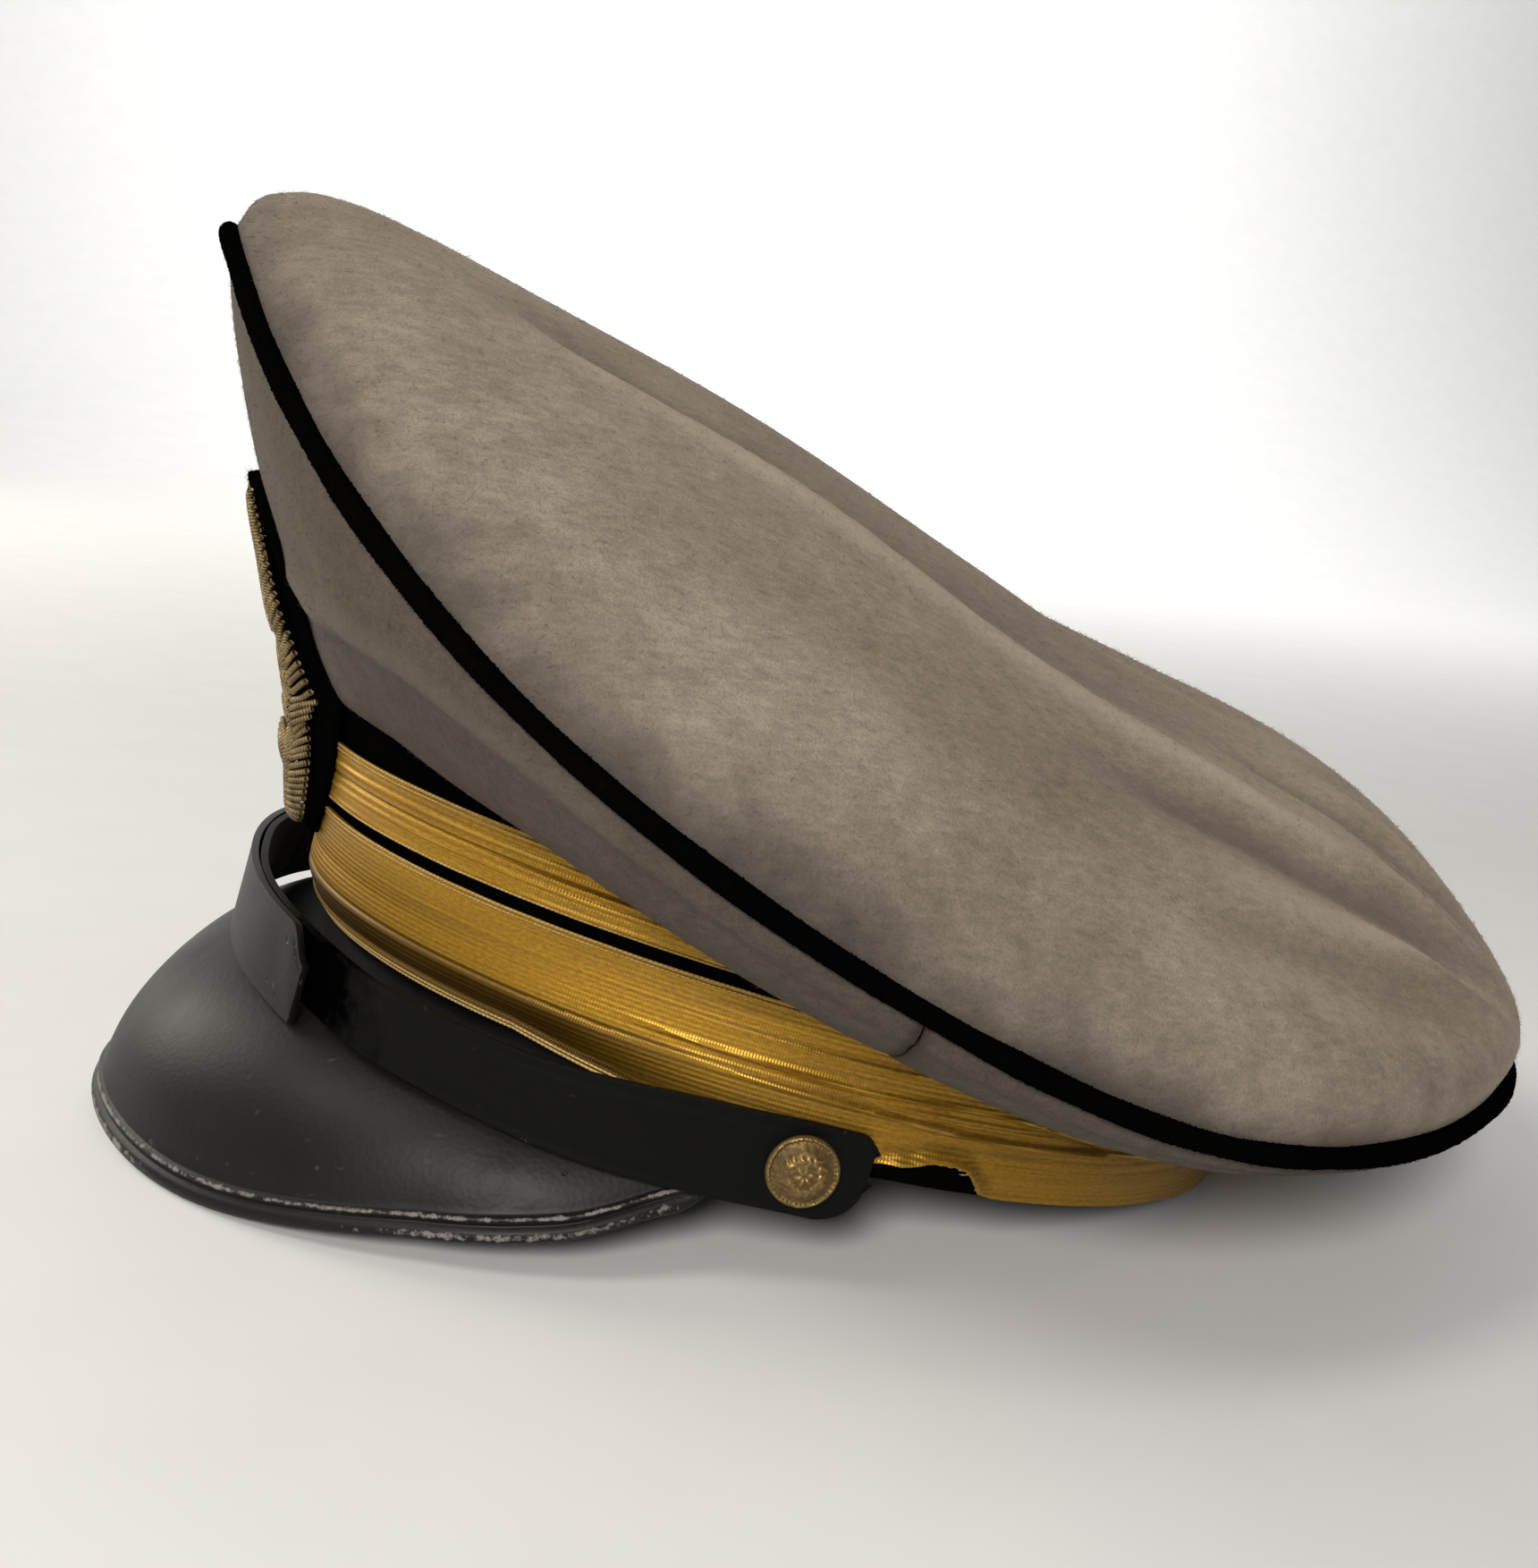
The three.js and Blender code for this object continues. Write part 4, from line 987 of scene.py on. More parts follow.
class OfficerCapColours(bpy.types.PropertyGroup):
    """Colours that a user would change."""

    crown: colour_setting("Crown", "Wool of the crown top", (0.203, 0.163, 0.123))
    crown_worn: colour_setting("Crown, worn", "Crown wool where its nap is rubbed", (0.320, 0.266, 0.209))
    # Painted shade: the side cloth is the crown's wool with both its colours painted about a quarter as
    # bright, as the shade it lies in.
    side: colour_setting("Side", "Wool of the side cloth", (0.055, 0.043, 0.033))
    shaded_side_worn: colour_setting("Side, worn", "Side cloth where its nap is rubbed", (0.084, 0.070, 0.056))
    black: colour_setting("Black cloth", "Band, piping and badge patch", (0.0009, 0.0008, 0.0007))
    gold: colour_setting("Gold lace", "Clean metal lace", (0.36, 0.194, 0.016))
    tarnish: colour_setting("Lace tarnish", "Tarnished metal lace", (0.12, 0.060, 0.006))
    selvedge: colour_setting("Lace edge", "Pale threads along the lace", (0.44, 0.30, 0.105))
    peak: colour_setting("Peak leather", "Leather of the peak", (0.0036, 0.0035, 0.0033))
    scuff: colour_setting("Scuffs", "Bare leather where the peak is rubbed", (0.19, 0.175, 0.155))
    strap: colour_setting("Strap leather", "Leather of the chin strap", (0.0022, 0.0022, 0.0021))
    lining: colour_setting("Lining leather", "Leather of the sweatband", (0.010, 0.007, 0.005))
    brass: colour_setting("Brass", "Rubbed brass of the buttons", (0.30, 0.190, 0.065))
    brass_dull: colour_setting("Brass, dull", "Dull brass in the hollows", (0.085, 0.054, 0.017))
    bullion: colour_setting("Bullion", "Bright bullion thread", (0.31, 0.22, 0.095))
    bullion_dull: colour_setting("Bullion, dull", "Dulled bullion thread", (0.075, 0.047, 0.017))
    floor: colour_setting("Floor", "Pale floor under the cap", (0.82, 0.82, 0.81))


def sizes():
    return bpy.context.scene.officer_cap_sizes


def colours():
    return bpy.context.scene.officer_cap_colours


def black_wool():
    """The one black wool of the band, the piping and the badge patch."""
    found = bpy.data.materials.get("Black wool")
    if found:
        return found
    black = colours().black
    return wool_material("Black wool", black, tinted(black, 2), 0.0, 0.3, shine=0.0)


# Pieces

class OFFICER_CAP_OT_crown_top(bpy.types.Operator):
    """Builds the soft crown top with its folds and rubbed nap"""

    bl_idname = "officer_cap.crown_top"
    bl_label = "Crown Top"

    def execute(self, context):
        height = sizes().fold_height

        def share(v):
            return np.sin((1 - v) * math.pi / 2)

        def place(u, v):
            return top_point(all_round(u), share(v), height)

        def from_above(u, v):
            return place(u, v)[..., :2].transpose(2, 0, 1)

        def uneven(u, v):
            return 0.55 * ripple(*(from_above(u, v) / 52), 3) * (1 - share(v) ** 8)

        def pattern(u, v):
            reach = np.linalg.norm(rim_point(all_round(u))[..., :2], axis=-1)
            return 720 * u, (1 - share(v)) * reach

        def mark(u, v):
            # Painted highlight and shade: the folds' rise, which the wool paints lighter on ridges and darker
            # in grooves.
            return 1.25 * fold_rise(*from_above(u, v), 1.0)

        def not_underneath(at, normal):
            return np.where(normal[:, 2] > -0.25, 1.0, 0.0)

        crown = lay_sheet("crown_top_wool", 320, 110, place, pattern, uneven, mark, closed=True)
        give_wall(crown, CLOTH_WALL - 0.3)
        look = wool_material("Crown wool", colours().crown, colours().crown_worn, 0.35, 0.35, rim_darkening=0.8)
        finish_piece(crown, look, ["crown_top"])
        grow_nap("crown_top_nap", crown, look, 24000, 1.5, 0.055, 0.4, 11, not_underneath)
        return {"FINISHED"}


class OFFICER_CAP_OT_side_cloth(bpy.types.Operator):
    """Builds the side cloth in front and behind, with its pressed line and its side seams"""

    bl_idname = "officer_cap.side_cloth"
    bl_label = "Side Cloth"

    def execute(self, context):
        # The side wool is the crown's wool painted darker, as painted shade.
        look = wool_material("Side wool", colours().side, colours().shaded_side_worn, 0.3, 0.3)
        self.lay_side("front", -SIDE_SEAM, SIDE_SEAM, 210, look)
        self.lay_side("back", SIDE_SEAM, 360 - SIDE_SEAM, 230, look)
        return {"FINISHED"}

    def lay_side(self, name, start, end, columns, look):
        """Lays one side cloth between its two seams."""
        def angle(u):
            return start + 0.1 + (end - start - 0.2) * u

        def place(u, v):
            return side_point(angle(u), 1 - v)

        def pattern(u, v):
            return 1.9 * angle(u), 60 * v

        def to_seam(a):
            return np.minimum(np.abs(a - start), np.abs(end - a))

        def pressed(a):
            return pressed_line(fold_angle(a)) + 0.01 * ripple(a / 30, 0 * a, 5)

        def rise(u, v):
            a, share = angle(u), 1 - v
            crest = (1.1 - 0.8 * ease(fold_angle(a), 46, 74)) * hump(share, pressed(a), 0.03)
            crest = crest - 0.5 * hump(share, pressed(a) + 0.08, 0.045)
            tuck = -0.35 * np.exp(-((to_seam(a) / 0.8) ** 2)) * (1 - ease(share, 0.35, 0.7))
            relief = crest + 0.4 * ripple(a / 22, share * 2.2, 8)
            relief = relief * ease(share, 0, 0.12) * (1 - ease(share, 0.9, 1))
            return relief + tuck * ease(share, 0.02, 0.1)

        def mark(u, v):
            # Painted highlight along the pressed line's crest and painted shade in the strip just below it,
            # fading towards the side; the seams get a darker line.
            a, share = angle(u), 1 - v
            near = 1 - 0.9 * ease(fold_angle(a), 44, 72)
            pale = 2.6 * hump(share, pressed(a), 0.045) - 1.6 * hump(share, pressed(a) + 0.12, 0.06)
            return pale * near - 4 * hump(to_seam(a), 0, 0.7)

        cloth = lay_sheet(f"side_wool_{name}", columns, 40, place, pattern, rise, mark)
        give_wall(cloth, CLOTH_WALL - 0.3)
        finish_piece(cloth, look, [f"side_cloth_{name}"])
        grow_nap(f"side_nap_{name}", cloth, look, 10000, 1.1, 0.045, 0.4, 12)


class OFFICER_CAP_OT_piping(bpy.types.Operator):
    """Builds the fuzzy piping round the crown's rim"""

    bl_idname = "officer_cap.piping"
    bl_label = "Crown Piping"

    def execute(self, context):
        angle = np.linspace(-180, 180, 720, endpoint=False)
        thicker_behind = 0.08 * ease(np.abs(angle), 95, 130)
        radius = PIPING_RADIUS * (0.86 + 0.07 * ripple(angle / 9, 0 * angle, 21, 9) + thicker_behind)
        cord = lay_cords("piping_cord", rim_point(angle)[None], radius[None], 16, closed=True)
        finish_piece(cord, black_wool(), ["crown_piping"])
        grow_nap("piping_nap", cord, black_wool(), 17000, 1.5, 0.11, 0.55, 22)
        return {"FINISHED"}


class OFFICER_CAP_OT_band(bpy.types.Operator):
    """Builds the black cloth band and the leather sweatband with its stitches"""

    bl_idname = "officer_cap.band"
    bl_label = "Band and Sweatband"

    def execute(self, context):
        def layer(stand, top):
            def place(u, v):
                a = all_round(u)
                foot = band_foot(a)
                return band_point(a, foot + (top - foot) * v, stand + 0 * u)
            return place

        def band_pattern(u, v):
            return 585 * u, 46 * v

        def lining_pattern(u, v):
            return 560 * u, 38 * v

        def dents(u, v):
            return 0.12 * ripple(u * 26, v * 3, 31) * (1 - v)

        band = lay_sheet("band_cloth", 180, 16, layer(0.0, BAND_TOP), band_pattern, closed=True)
        give_wall(band, BAND_WALL - 0.1, bevel=0.35)
        finish_piece(band, black_wool(), ["cloth_band"])
        inside = layer(SWEAT_STAND, SWEAT_TOP)
        lining = lay_sheet("sweatband_leather", 180, 14, inside, lining_pattern, dents, closed=True)
        give_wall(lining, SWEAT_WALL - 0.1, bevel=0.4)
        look = leather_material("Sweatband leather", colours().lining, (0.09, 0.06, 0.04), 0.55, relief=0.08)
        finish_piece(lining, look, ["sweatband"])
        self.stitch()
        return {"FINISHED"}

    def stitch(self):
        """One row of stitches along the sweatband's top."""
        half = 500 * sizes().stitch_length
        middles = np.arange(STITCHES) * 360 / STITCHES - 180
        along = np.linspace(-1, 1, 7)
        turns = middles[:, None] + along * half / 1.6
        lift = 0.28 * np.sqrt(1 - (0.98 * along) ** 2)
        z = SWEAT_TOP - 2.5
        paths = band_point(turns, z + 0 * turns, SWEAT_STAND - SWEAT_WALL - lift + 0.12 + 0 * turns)
        stitches = lay_cords("sweatband_stitches", paths, 0.22, 6)
        black = colours().black
        thread = thread_material("Black thread", tinted(black, 3), black, 0.5, 0.0, 0.05)
        finish_piece(stitches, thread)


def tear_rise(angle):
    places_round, rises = columns_of(TEAR)
    return np.interp(angle, places_round, rises, left=0, right=0)


def lace_foot(angle):
    return band_foot(angle) + 0.5 + tear_rise(angle)


class OFFICER_CAP_OT_lace(bpy.types.Operator):
    """Builds both gold laces with their ribs, creases, pale edges and the torn foot"""

    bl_idname = "officer_cap.lace"
    bl_label = "Gold Laces"

    def execute(self, context):
        gold, tarnish = list(colours().gold), list(colours().tarnish)
        self.lay_lower(lace_material("Wide gold lace", gold, tarnish, 0.9, 0.5, 0.04, turned_in=True))
        self.lay_upper(lace_material("Narrow gold lace", gold, tarnish, 1.4, 0.6, 0.0))
        pale = thread_material("Pale lace edge", colours().selvedge, gold, 0.9, 0.35, 0.1)
        self.lay_edges(pale)
        self.lay_hem()
        self.lay_loops(pale)
        self.lay_fray(pale)
        return {"FINISHED"}

    def lay_lace(self, name, grid, height, foot, rise, mark, look, node):
        """Lays one lace round the band, with its map's height counted from foot."""
        def place(u, v):
            return band_point(all_round(u), height(u, v), LACE_STAND + 0 * u)

        def pattern(u, v):
            return LACE_LENGTH * u, height(u, v) - foot

        lace = lay_sheet(name, *grid, place, pattern, rise, mark, closed=True)
        give_wall(lace, LACE_WALL - 0.2, bevel=0.2)
        finish_piece(lace, look, [node])

    def lay_lower(self, look):
        """The wide lace, creased lengthwise at the sides, turned in at the front and torn at the left."""
        crease = 1000 * sizes().lace_crease

        def height(u, v):
            a = all_round(u)
            torn = tear_rise(a)
            foot = lace_foot(a) - torn
            return foot + (LACE_TOP - foot) * v + torn * np.maximum(1 - v / 0.45, 0) ** 2

        def lines_at(a):
            """Heights of the two creases and of a faint one above them."""
            wander = 0.35 * ripple(a / 25, 0 * a, 45)
            return upper_crease(a) + wander, lower_crease(a) - wander, upper_crease(a) + 4.4 + wander, wander

        def rise(u, v):
            a, z = all_round(u), height(u, v)
            upper, lower, faint, _ = lines_at(a)
            ridge = 1.7 * hump(z, upper, 0.42) * (0.8 + 0.5 * ripple(a / 14, 0 * a, 41))
            shape = ease(np.abs(a), 58, 72) * crease * (ridge - 0.9 * hump(z, upper - 1.1, 0.6))
            ridge = 1.6 * hump(z, lower, 0.4) - 0.7 * hump(z, lower + 1.0, 0.5)
            shape += crease * ridge * ease(a, 62, 84) * (1 - ease(a, 140, 165))
            shape += 0.7 * crease * hump(z, faint, 0.35) * ease(a, 64, 80) * (1 - ease(a, 120, 150))
            shape -= 0.55 * hump(z, 11.3, 0.45) * (1 - ease(np.abs(a), 56, 70))
            shape += 0.22 * hump(z, LACE_TOP - 0.5, 0.5) + 0.18 * ripple(a / 17, z / 11, 42)
            above = z - lace_foot(a)
            torn = ease(a, 88, 90) * (1 - ease(a, 98.5, 101))
            curled = 1.5 * np.exp(-((above / 1.5) ** 2))
            shape += torn * (curled + 0.35 * ripple(a / 1.7, z / 3, 43) * np.exp(-above / 3))
            return shape + 0.3 * np.exp(-above / 0.8) * (1 - torn)

        def mark(u, v):
            # Painted highlights and shade: pale lines on the crease crests with dark ones beside them at the
            # sides, a dark crease line with a pale one above it in front, and a bright torn lip with a dark
            # band above it.
            a, z = all_round(u), height(u, v)
            upper, lower, faint, wander = lines_at(a)
            side, front = ease(np.abs(a), 58, 72), 1 - ease(np.abs(a), 60, 72)
            patchy = 0.75 + 0.5 * ripple(a / 8, z / 30, 46)
            lines = side * patchy * (1.2 * hump(z, upper, 0.34) - 0.6 * hump(z, upper - 1.2, 0.6))
            behind = side * (1 - ease(a, 140, 165))
            lines += behind * patchy * (1.1 * hump(z, lower, 0.32) - 0.5 * hump(z, lower + 1.0, 0.5))
            lines += side * 0.7 * patchy * hump(z, faint, 0.3)
            lines += 0.6 * hump(z, upper_crease(a) + 7.0 + 2 * wander, 0.25) * side
            lines -= 1.1 * hump(z, 11.4, 0.3) * front
            lines += 0.5 * hump(z, 12.3, 0.35) * front
            above = z - lace_foot(a)
            torn = ease(a, 86, 89) * (1 - ease(a, 99.5, 102))
            return lines + torn * (0.45 * np.exp(-above / 0.9) - 0.7 * hump(above, 2.6, 1.2))

        self.lay_lace("lace_wide", (420, 56), height, 0.0, rise, mark, look, "lace_lower")

    def lay_upper(self, look):
        """The narrow lace, with eight ribs and a groove along its middle."""
        def height(u, v):
            return UPPER_FOOT + (UPPER_TOP - UPPER_FOOT) * v

        def rise(u, v):
            ribs = 0.17 * np.abs(np.sin(math.pi * 8 * v)) - 0.3 * hump(v, 0.5, 0.03)
            ribs = ribs + 0.16 * hump(v, 0.3, 0.04) + 0.16 * hump(v, 0.68, 0.04)
            return ribs + 0.1 * ripple(all_round(u) / 19, v, 44)

        def mark(u, v):
            # Painted highlights along the edges and on the two ribs; painted shade in the middle groove and
            # beside the ribs.
            patchy = 0.7 + 0.6 * ripple(all_round(u) / 6, v * 2, 48)
            pale = hump(v, 0.1, 0.02) + hump(v, 0.3, 0.025) + hump(v, 0.7, 0.025) + hump(v, 0.9, 0.02)
            pale = pale * patchy - 0.9 * hump(v, 0.5, 0.025)
            return pale - 0.4 * hump(v, 0.2, 0.02) - 0.4 * hump(v, 0.8, 0.02)

        foot = UPPER_FOOT + 0.35
        self.lay_lace("lace_narrow", (240, 44), height, foot, rise, mark, look, "lace_upper")

    def lay_edges(self, look):
        """Pale threads along the edges of both laces: name, height, stand and radius."""
        edges = [
            ("lace_edge_1", LACE_TOP - 0.2, 0.25, 0.26), ("lace_edge_2", LACE_TOP - 1.0, 0.2, 0.2),
            ("lace_edge_3", UPPER_FOOT + 0.2, 0.2, 0.24), ("lace_edge_4", UPPER_TOP - 0.2, 0.2, 0.26),
            ("lace_edge_5", UPPER_TOP - 1.0, 0.25, 0.2),
        ]
        a = np.linspace(-180, 180, 600, endpoint=False)
        for name, z, stand, radius in edges:
            wander = 0.05 * ripple(a / 7, 0 * a, 11 + int(10 * z))
            path = band_point(a, z + wander, LACE_STAND + stand + wander)
            finish_piece(lay_cords(name, path[None], radius, 6, closed=True), look)

    def lay_hem(self):
        """Two threads along the wide lace's foot, from button to button, painted brighter than the lace's
        edge threads as painted light where the foot lies in shade.
        """
        a = np.linspace(-180, 180, 600, endpoint=False)
        a = a[np.abs(a) < 86]
        selvedge = colours().selvedge
        # Painted light: the hem's thread is the lace edge's thread painted half again as bright.
        look = thread_material("Pale lace hem", tinted(selvedge, 1.5), selvedge, 0.9, 0.2, 0.1)
        for name, up, radius in (("lace_hem_1", 0.15, 0.3), ("lace_hem_2", 1.05, 0.24)):
            path = band_point(a, lace_foot(a) + up, LACE_STAND + 0.35 + 0 * a)
            finish_piece(lay_cords(name, path[None], radius, 6), look)

    def lay_loops(self, look):
        """Small slanting loops side by side above the hem."""
        middles = np.linspace(-85.5, 85.5, LOOPS)
        turn = np.linspace(0, 1, 5)
        a = middles[:, None] + LOOP_WIDTH * (turn - 0.5)
        z = (lace_foot(middles) + 1.6)[:, None] + 1.1 * turn
        lift = LACE_STAND + 0.28 + 0.22 * np.sin(math.pi * turn)
        loops = lay_cords("lace_loops", band_point(a, z, lift + 0 * a), 0.17, 5)
        finish_piece(loops, look)

    def lay_fray(self, look):
        """Loose ends of thread that hang from the tear."""
        rng = np.random.default_rng(47)
        starts = rng.uniform(89.0, 99.4, FRAYS)
        run = np.linspace(0, 1, 7)
        reach = rng.uniform(0.4, 1.2, FRAYS)[:, None]
        swing = rng.normal(0, 0.8, FRAYS)[:, None]
        a = starts[:, None] + swing * run ** 1.5
        z = lace_foot(starts)[:, None] + 0.5 - reach * run + 0.5 * reach * run ** 3
        out = LACE_STAND + 1.1 + rng.uniform(-0.4, 0.5, FRAYS)[:, None] * np.sin(2.2 * run)
        radius = np.array([0.11] * 6 + [0.03])
        finish_piece(lay_cords("lace_fray", band_point(a, z, out), radius, 5), look)


class OFFICER_CAP_OT_peak(bpy.types.Operator):
    """Builds the leather peak with its pressed double bead, scuffs and crease"""

    bl_idname = "officer_cap.peak"
    bl_label = "Peak"

    def execute(self, context):
        bead = smooth_line(*columns_of(PEAK_BEAD))

        def angle(u):
            return 150 * u - 75

        def reach_at(a):
            """Length of the peak's face from root to rim at one angle."""
            return peak_curve(a, np.array([0.0]))[1]

        def from_rim(u, v):
            """Distance from the rim, with half of the rows on the bead."""
            reach = np.array([reach_at(a) for a in angle(u[0])])
            band = np.minimum(PEAK_BEAD_BAND, 0.5 * reach)
            return np.where(v < 0.5, v / 0.5 * band, band + (reach - band) * (v - 0.5) / 0.5)

        def place(u, v):
            away = from_rim(u, v)
            points = np.empty((*u.shape, 3))
            for i, a in enumerate(angle(u[0])):
                shares = (1 - away[:, i] / reach_at(a)) * (1 - 0.4 * ease(abs(a), 70.5, 75))
                points[:, i] = peak_curve(a, shares)[0]
            return points

        def rise(u, v):
            a, away = angle(u), from_rim(u, v)
            squeeze = np.minimum(1, (75.5 - np.abs(a)) / 9)
            wave = 0.35 * ripple(a / 34, away / 40, 51, 5) * ease(away, 6, 20)
            dent = -0.35 * hump(a, 1.5 - (away - 30) * 0.35, 0.6) * hump(away, 33, 5)
            crack = -0.4 * hump(a, 57.5, 0.4) * (1 - ease(away, 5, 9))
            crumple = 0.3 * hump(a - 0.12 * (away - 12), 53.5, 0.35) * hump(away, 12, 6)
            crumple = crumple - 0.3 * hump(a + 0.1 * (away - 9), 55.6, 0.3) * hump(away, 9, 4)
            return bead(away) * squeeze + wave + dent + crack + crumple

        def pattern(u, v):
            return 1.9 * angle(u), from_rim(u, v)

        def wear(tree, u, v):
            """Rubs both beads, most of all near the front's left and at the left side."""
            outer = remap(tree, away_from(tree, v, 1.5), 0.3, 1.3, 1.0, 0.0)
            inner = remap(tree, away_from(tree, v, 4.6), 0.15, 0.8, 1.0, 0.0)
            front = remap(tree, away_from(tree, u, 19.0), 12.0, 26.0, 1.0, 0.25)
            side = remap(tree, away_from(tree, u, 109.0), 14.0, 30.0, 0.85, 0.25)
            outer = sums(tree, "MULTIPLY", outer, sums(tree, "MAXIMUM", front, side))
            return sums(tree, "MAXIMUM", outer, sums(tree, "MULTIPLY", inner, 0.9))

        peak = lay_sheet("peak_leather_shell", 140, 60, place, pattern, rise)
        give_wall(peak, PEAK_WALL - 0.1, bevel=0.5)
        leather, scuff, pinhole = colours().peak, colours().scuff, (113.0, 12.5, 0.5)
        look = leather_material("Peak leather", leather, scuff, 0.46, wear, marks=[pinhole], shine=0.26)
        finish_piece(peak, look, ["peak"], sharp=60)
        return {"FINISHED"}


def closer_at_ends(share):
    """Shifts even steps along the strap towards its two ends."""
    return share - 0.105 * np.sin(2 * math.pi * share)


def corner(gap, radius):
    """How far a rounded corner cuts in, at this gap from the strap's end."""
    return radius - np.sqrt(np.maximum(radius ** 2 - np.maximum(radius - gap, 0) ** 2, 0))


class OFFICER_CAP_OT_chin_strap(bpy.types.Operator):
    """Builds the two overlapping halves of the chin strap"""

    bl_idname = "officer_cap.chin_strap"
    bl_label = "Chin Strap"

    def execute(self, context):
        def edge_wear(tree, u, v):
            away = away_from(tree, v, STRAP_WIDTH / 2)
            return remap(tree, away, STRAP_WIDTH / 2 - 0.9, STRAP_WIDTH / 2, 0.0, 0.3)

        def tip_wear(tree, u, v):
            return sums(tree, "MAXIMUM", edge_wear(tree, u, v), remap(tree, u, 170, 190, 0.0, 0.3))

        def nothing(a):
            return 0 * a

        def dip(a):
            return 1 - ease(a, OUTER_END + 1, 38)

        def narrow(a):
            return TIP_NARROWING * (1 - ease(a, OUTER_END - 4, 66))

        def pointed(foot, top, left):
            return foot + 0 * left, top - 5.5 * (1 - ease(left, 0, 6))

        def blunt(foot, top, left):
            return foot + corner(left, 3.0), top - corner(left, 3.0)

        strap, scuff = list(colours().strap), (0.16, 0.155, 0.15)
        holes = [(183.5, 12.8, 0.75), (187.2, 9.4, 0.7), (180.0, 3.4, 0.45), (184.0, 2.4, 0.4)]
        look = leather_material(
            "Strap leather, outer half", strap, scuff, 0.5, tip_wear, marks=holes, shine=0.35)
        self.lay_half("outer", "chin_strap_right", -STRAP_END, OUTER_END, nothing, nothing, pointed, look)
        # Painted shadows: two soft dark patches on the inner half beside the outer half's end, where the
        # outer half shades it; edge 0.3 dims the inner half's gloss.
        shadowed = {"patches": [(87.0, 6.0, 18.0), (90.0, 11.0, 13.0)], "shine": 0.3, "edge": 0.3}
        look = leather_material("Strap leather, inner half", strap, scuff, 0.6, edge_wear, **shadowed)
        self.lay_half("inner", "chin_strap_left", STRAP_END, INNER_END, dip, narrow, blunt, look)
        return {"FINISHED"}

    def lay_half(self, name, node, start, end, dip, narrow, tip, look):
        """One half from its button at start to its free end, which tip shapes. It dips under the other."""
        mm_per_degree = math.radians(1) * HALF_LENGTH

        def place(u, v):
            a = start + (end - start) * closer_at_ends(u if end > start else 1 - u)
            gap, left = np.abs(a - start) * mm_per_degree, np.abs(end - a) * mm_per_degree
            foot = STRAP_FOOT + strap_lift(a) + corner(gap, 8.0) + narrow(a)
            top = STRAP_FOOT + strap_lift(a) + STRAP_WIDTH - corner(gap, 3.0)
            top = top - 1.5 * ease(a, 22, 50) * (1 - ease(a, 52, 72))
            foot, top = tip(foot, top, left)
            stand = strap_stand(a) - STRAP_OVERLAP * dip(a)
            return oval_point(a, foot + (top - foot) * v) + oval_normal(a) * stand[..., None]

        def rise(u, v):
            from_edge = np.minimum(v, 1 - v) * STRAP_WIDTH
            return 0.12 * ripple(u * 9, v * 1.2, 11, 5) - 0.22 * hump(from_edge, 1.7, 0.3)

        def pattern(u, v):
            return 190 * closer_at_ends(u), STRAP_WIDTH * v

        strap = lay_sheet(f"strap_{name}", 180, 20, place, pattern, rise)
        give_wall(strap, STRAP_LEATHER, bevel=0.3)
        finish_piece(strap, look, [node], sharp=60)


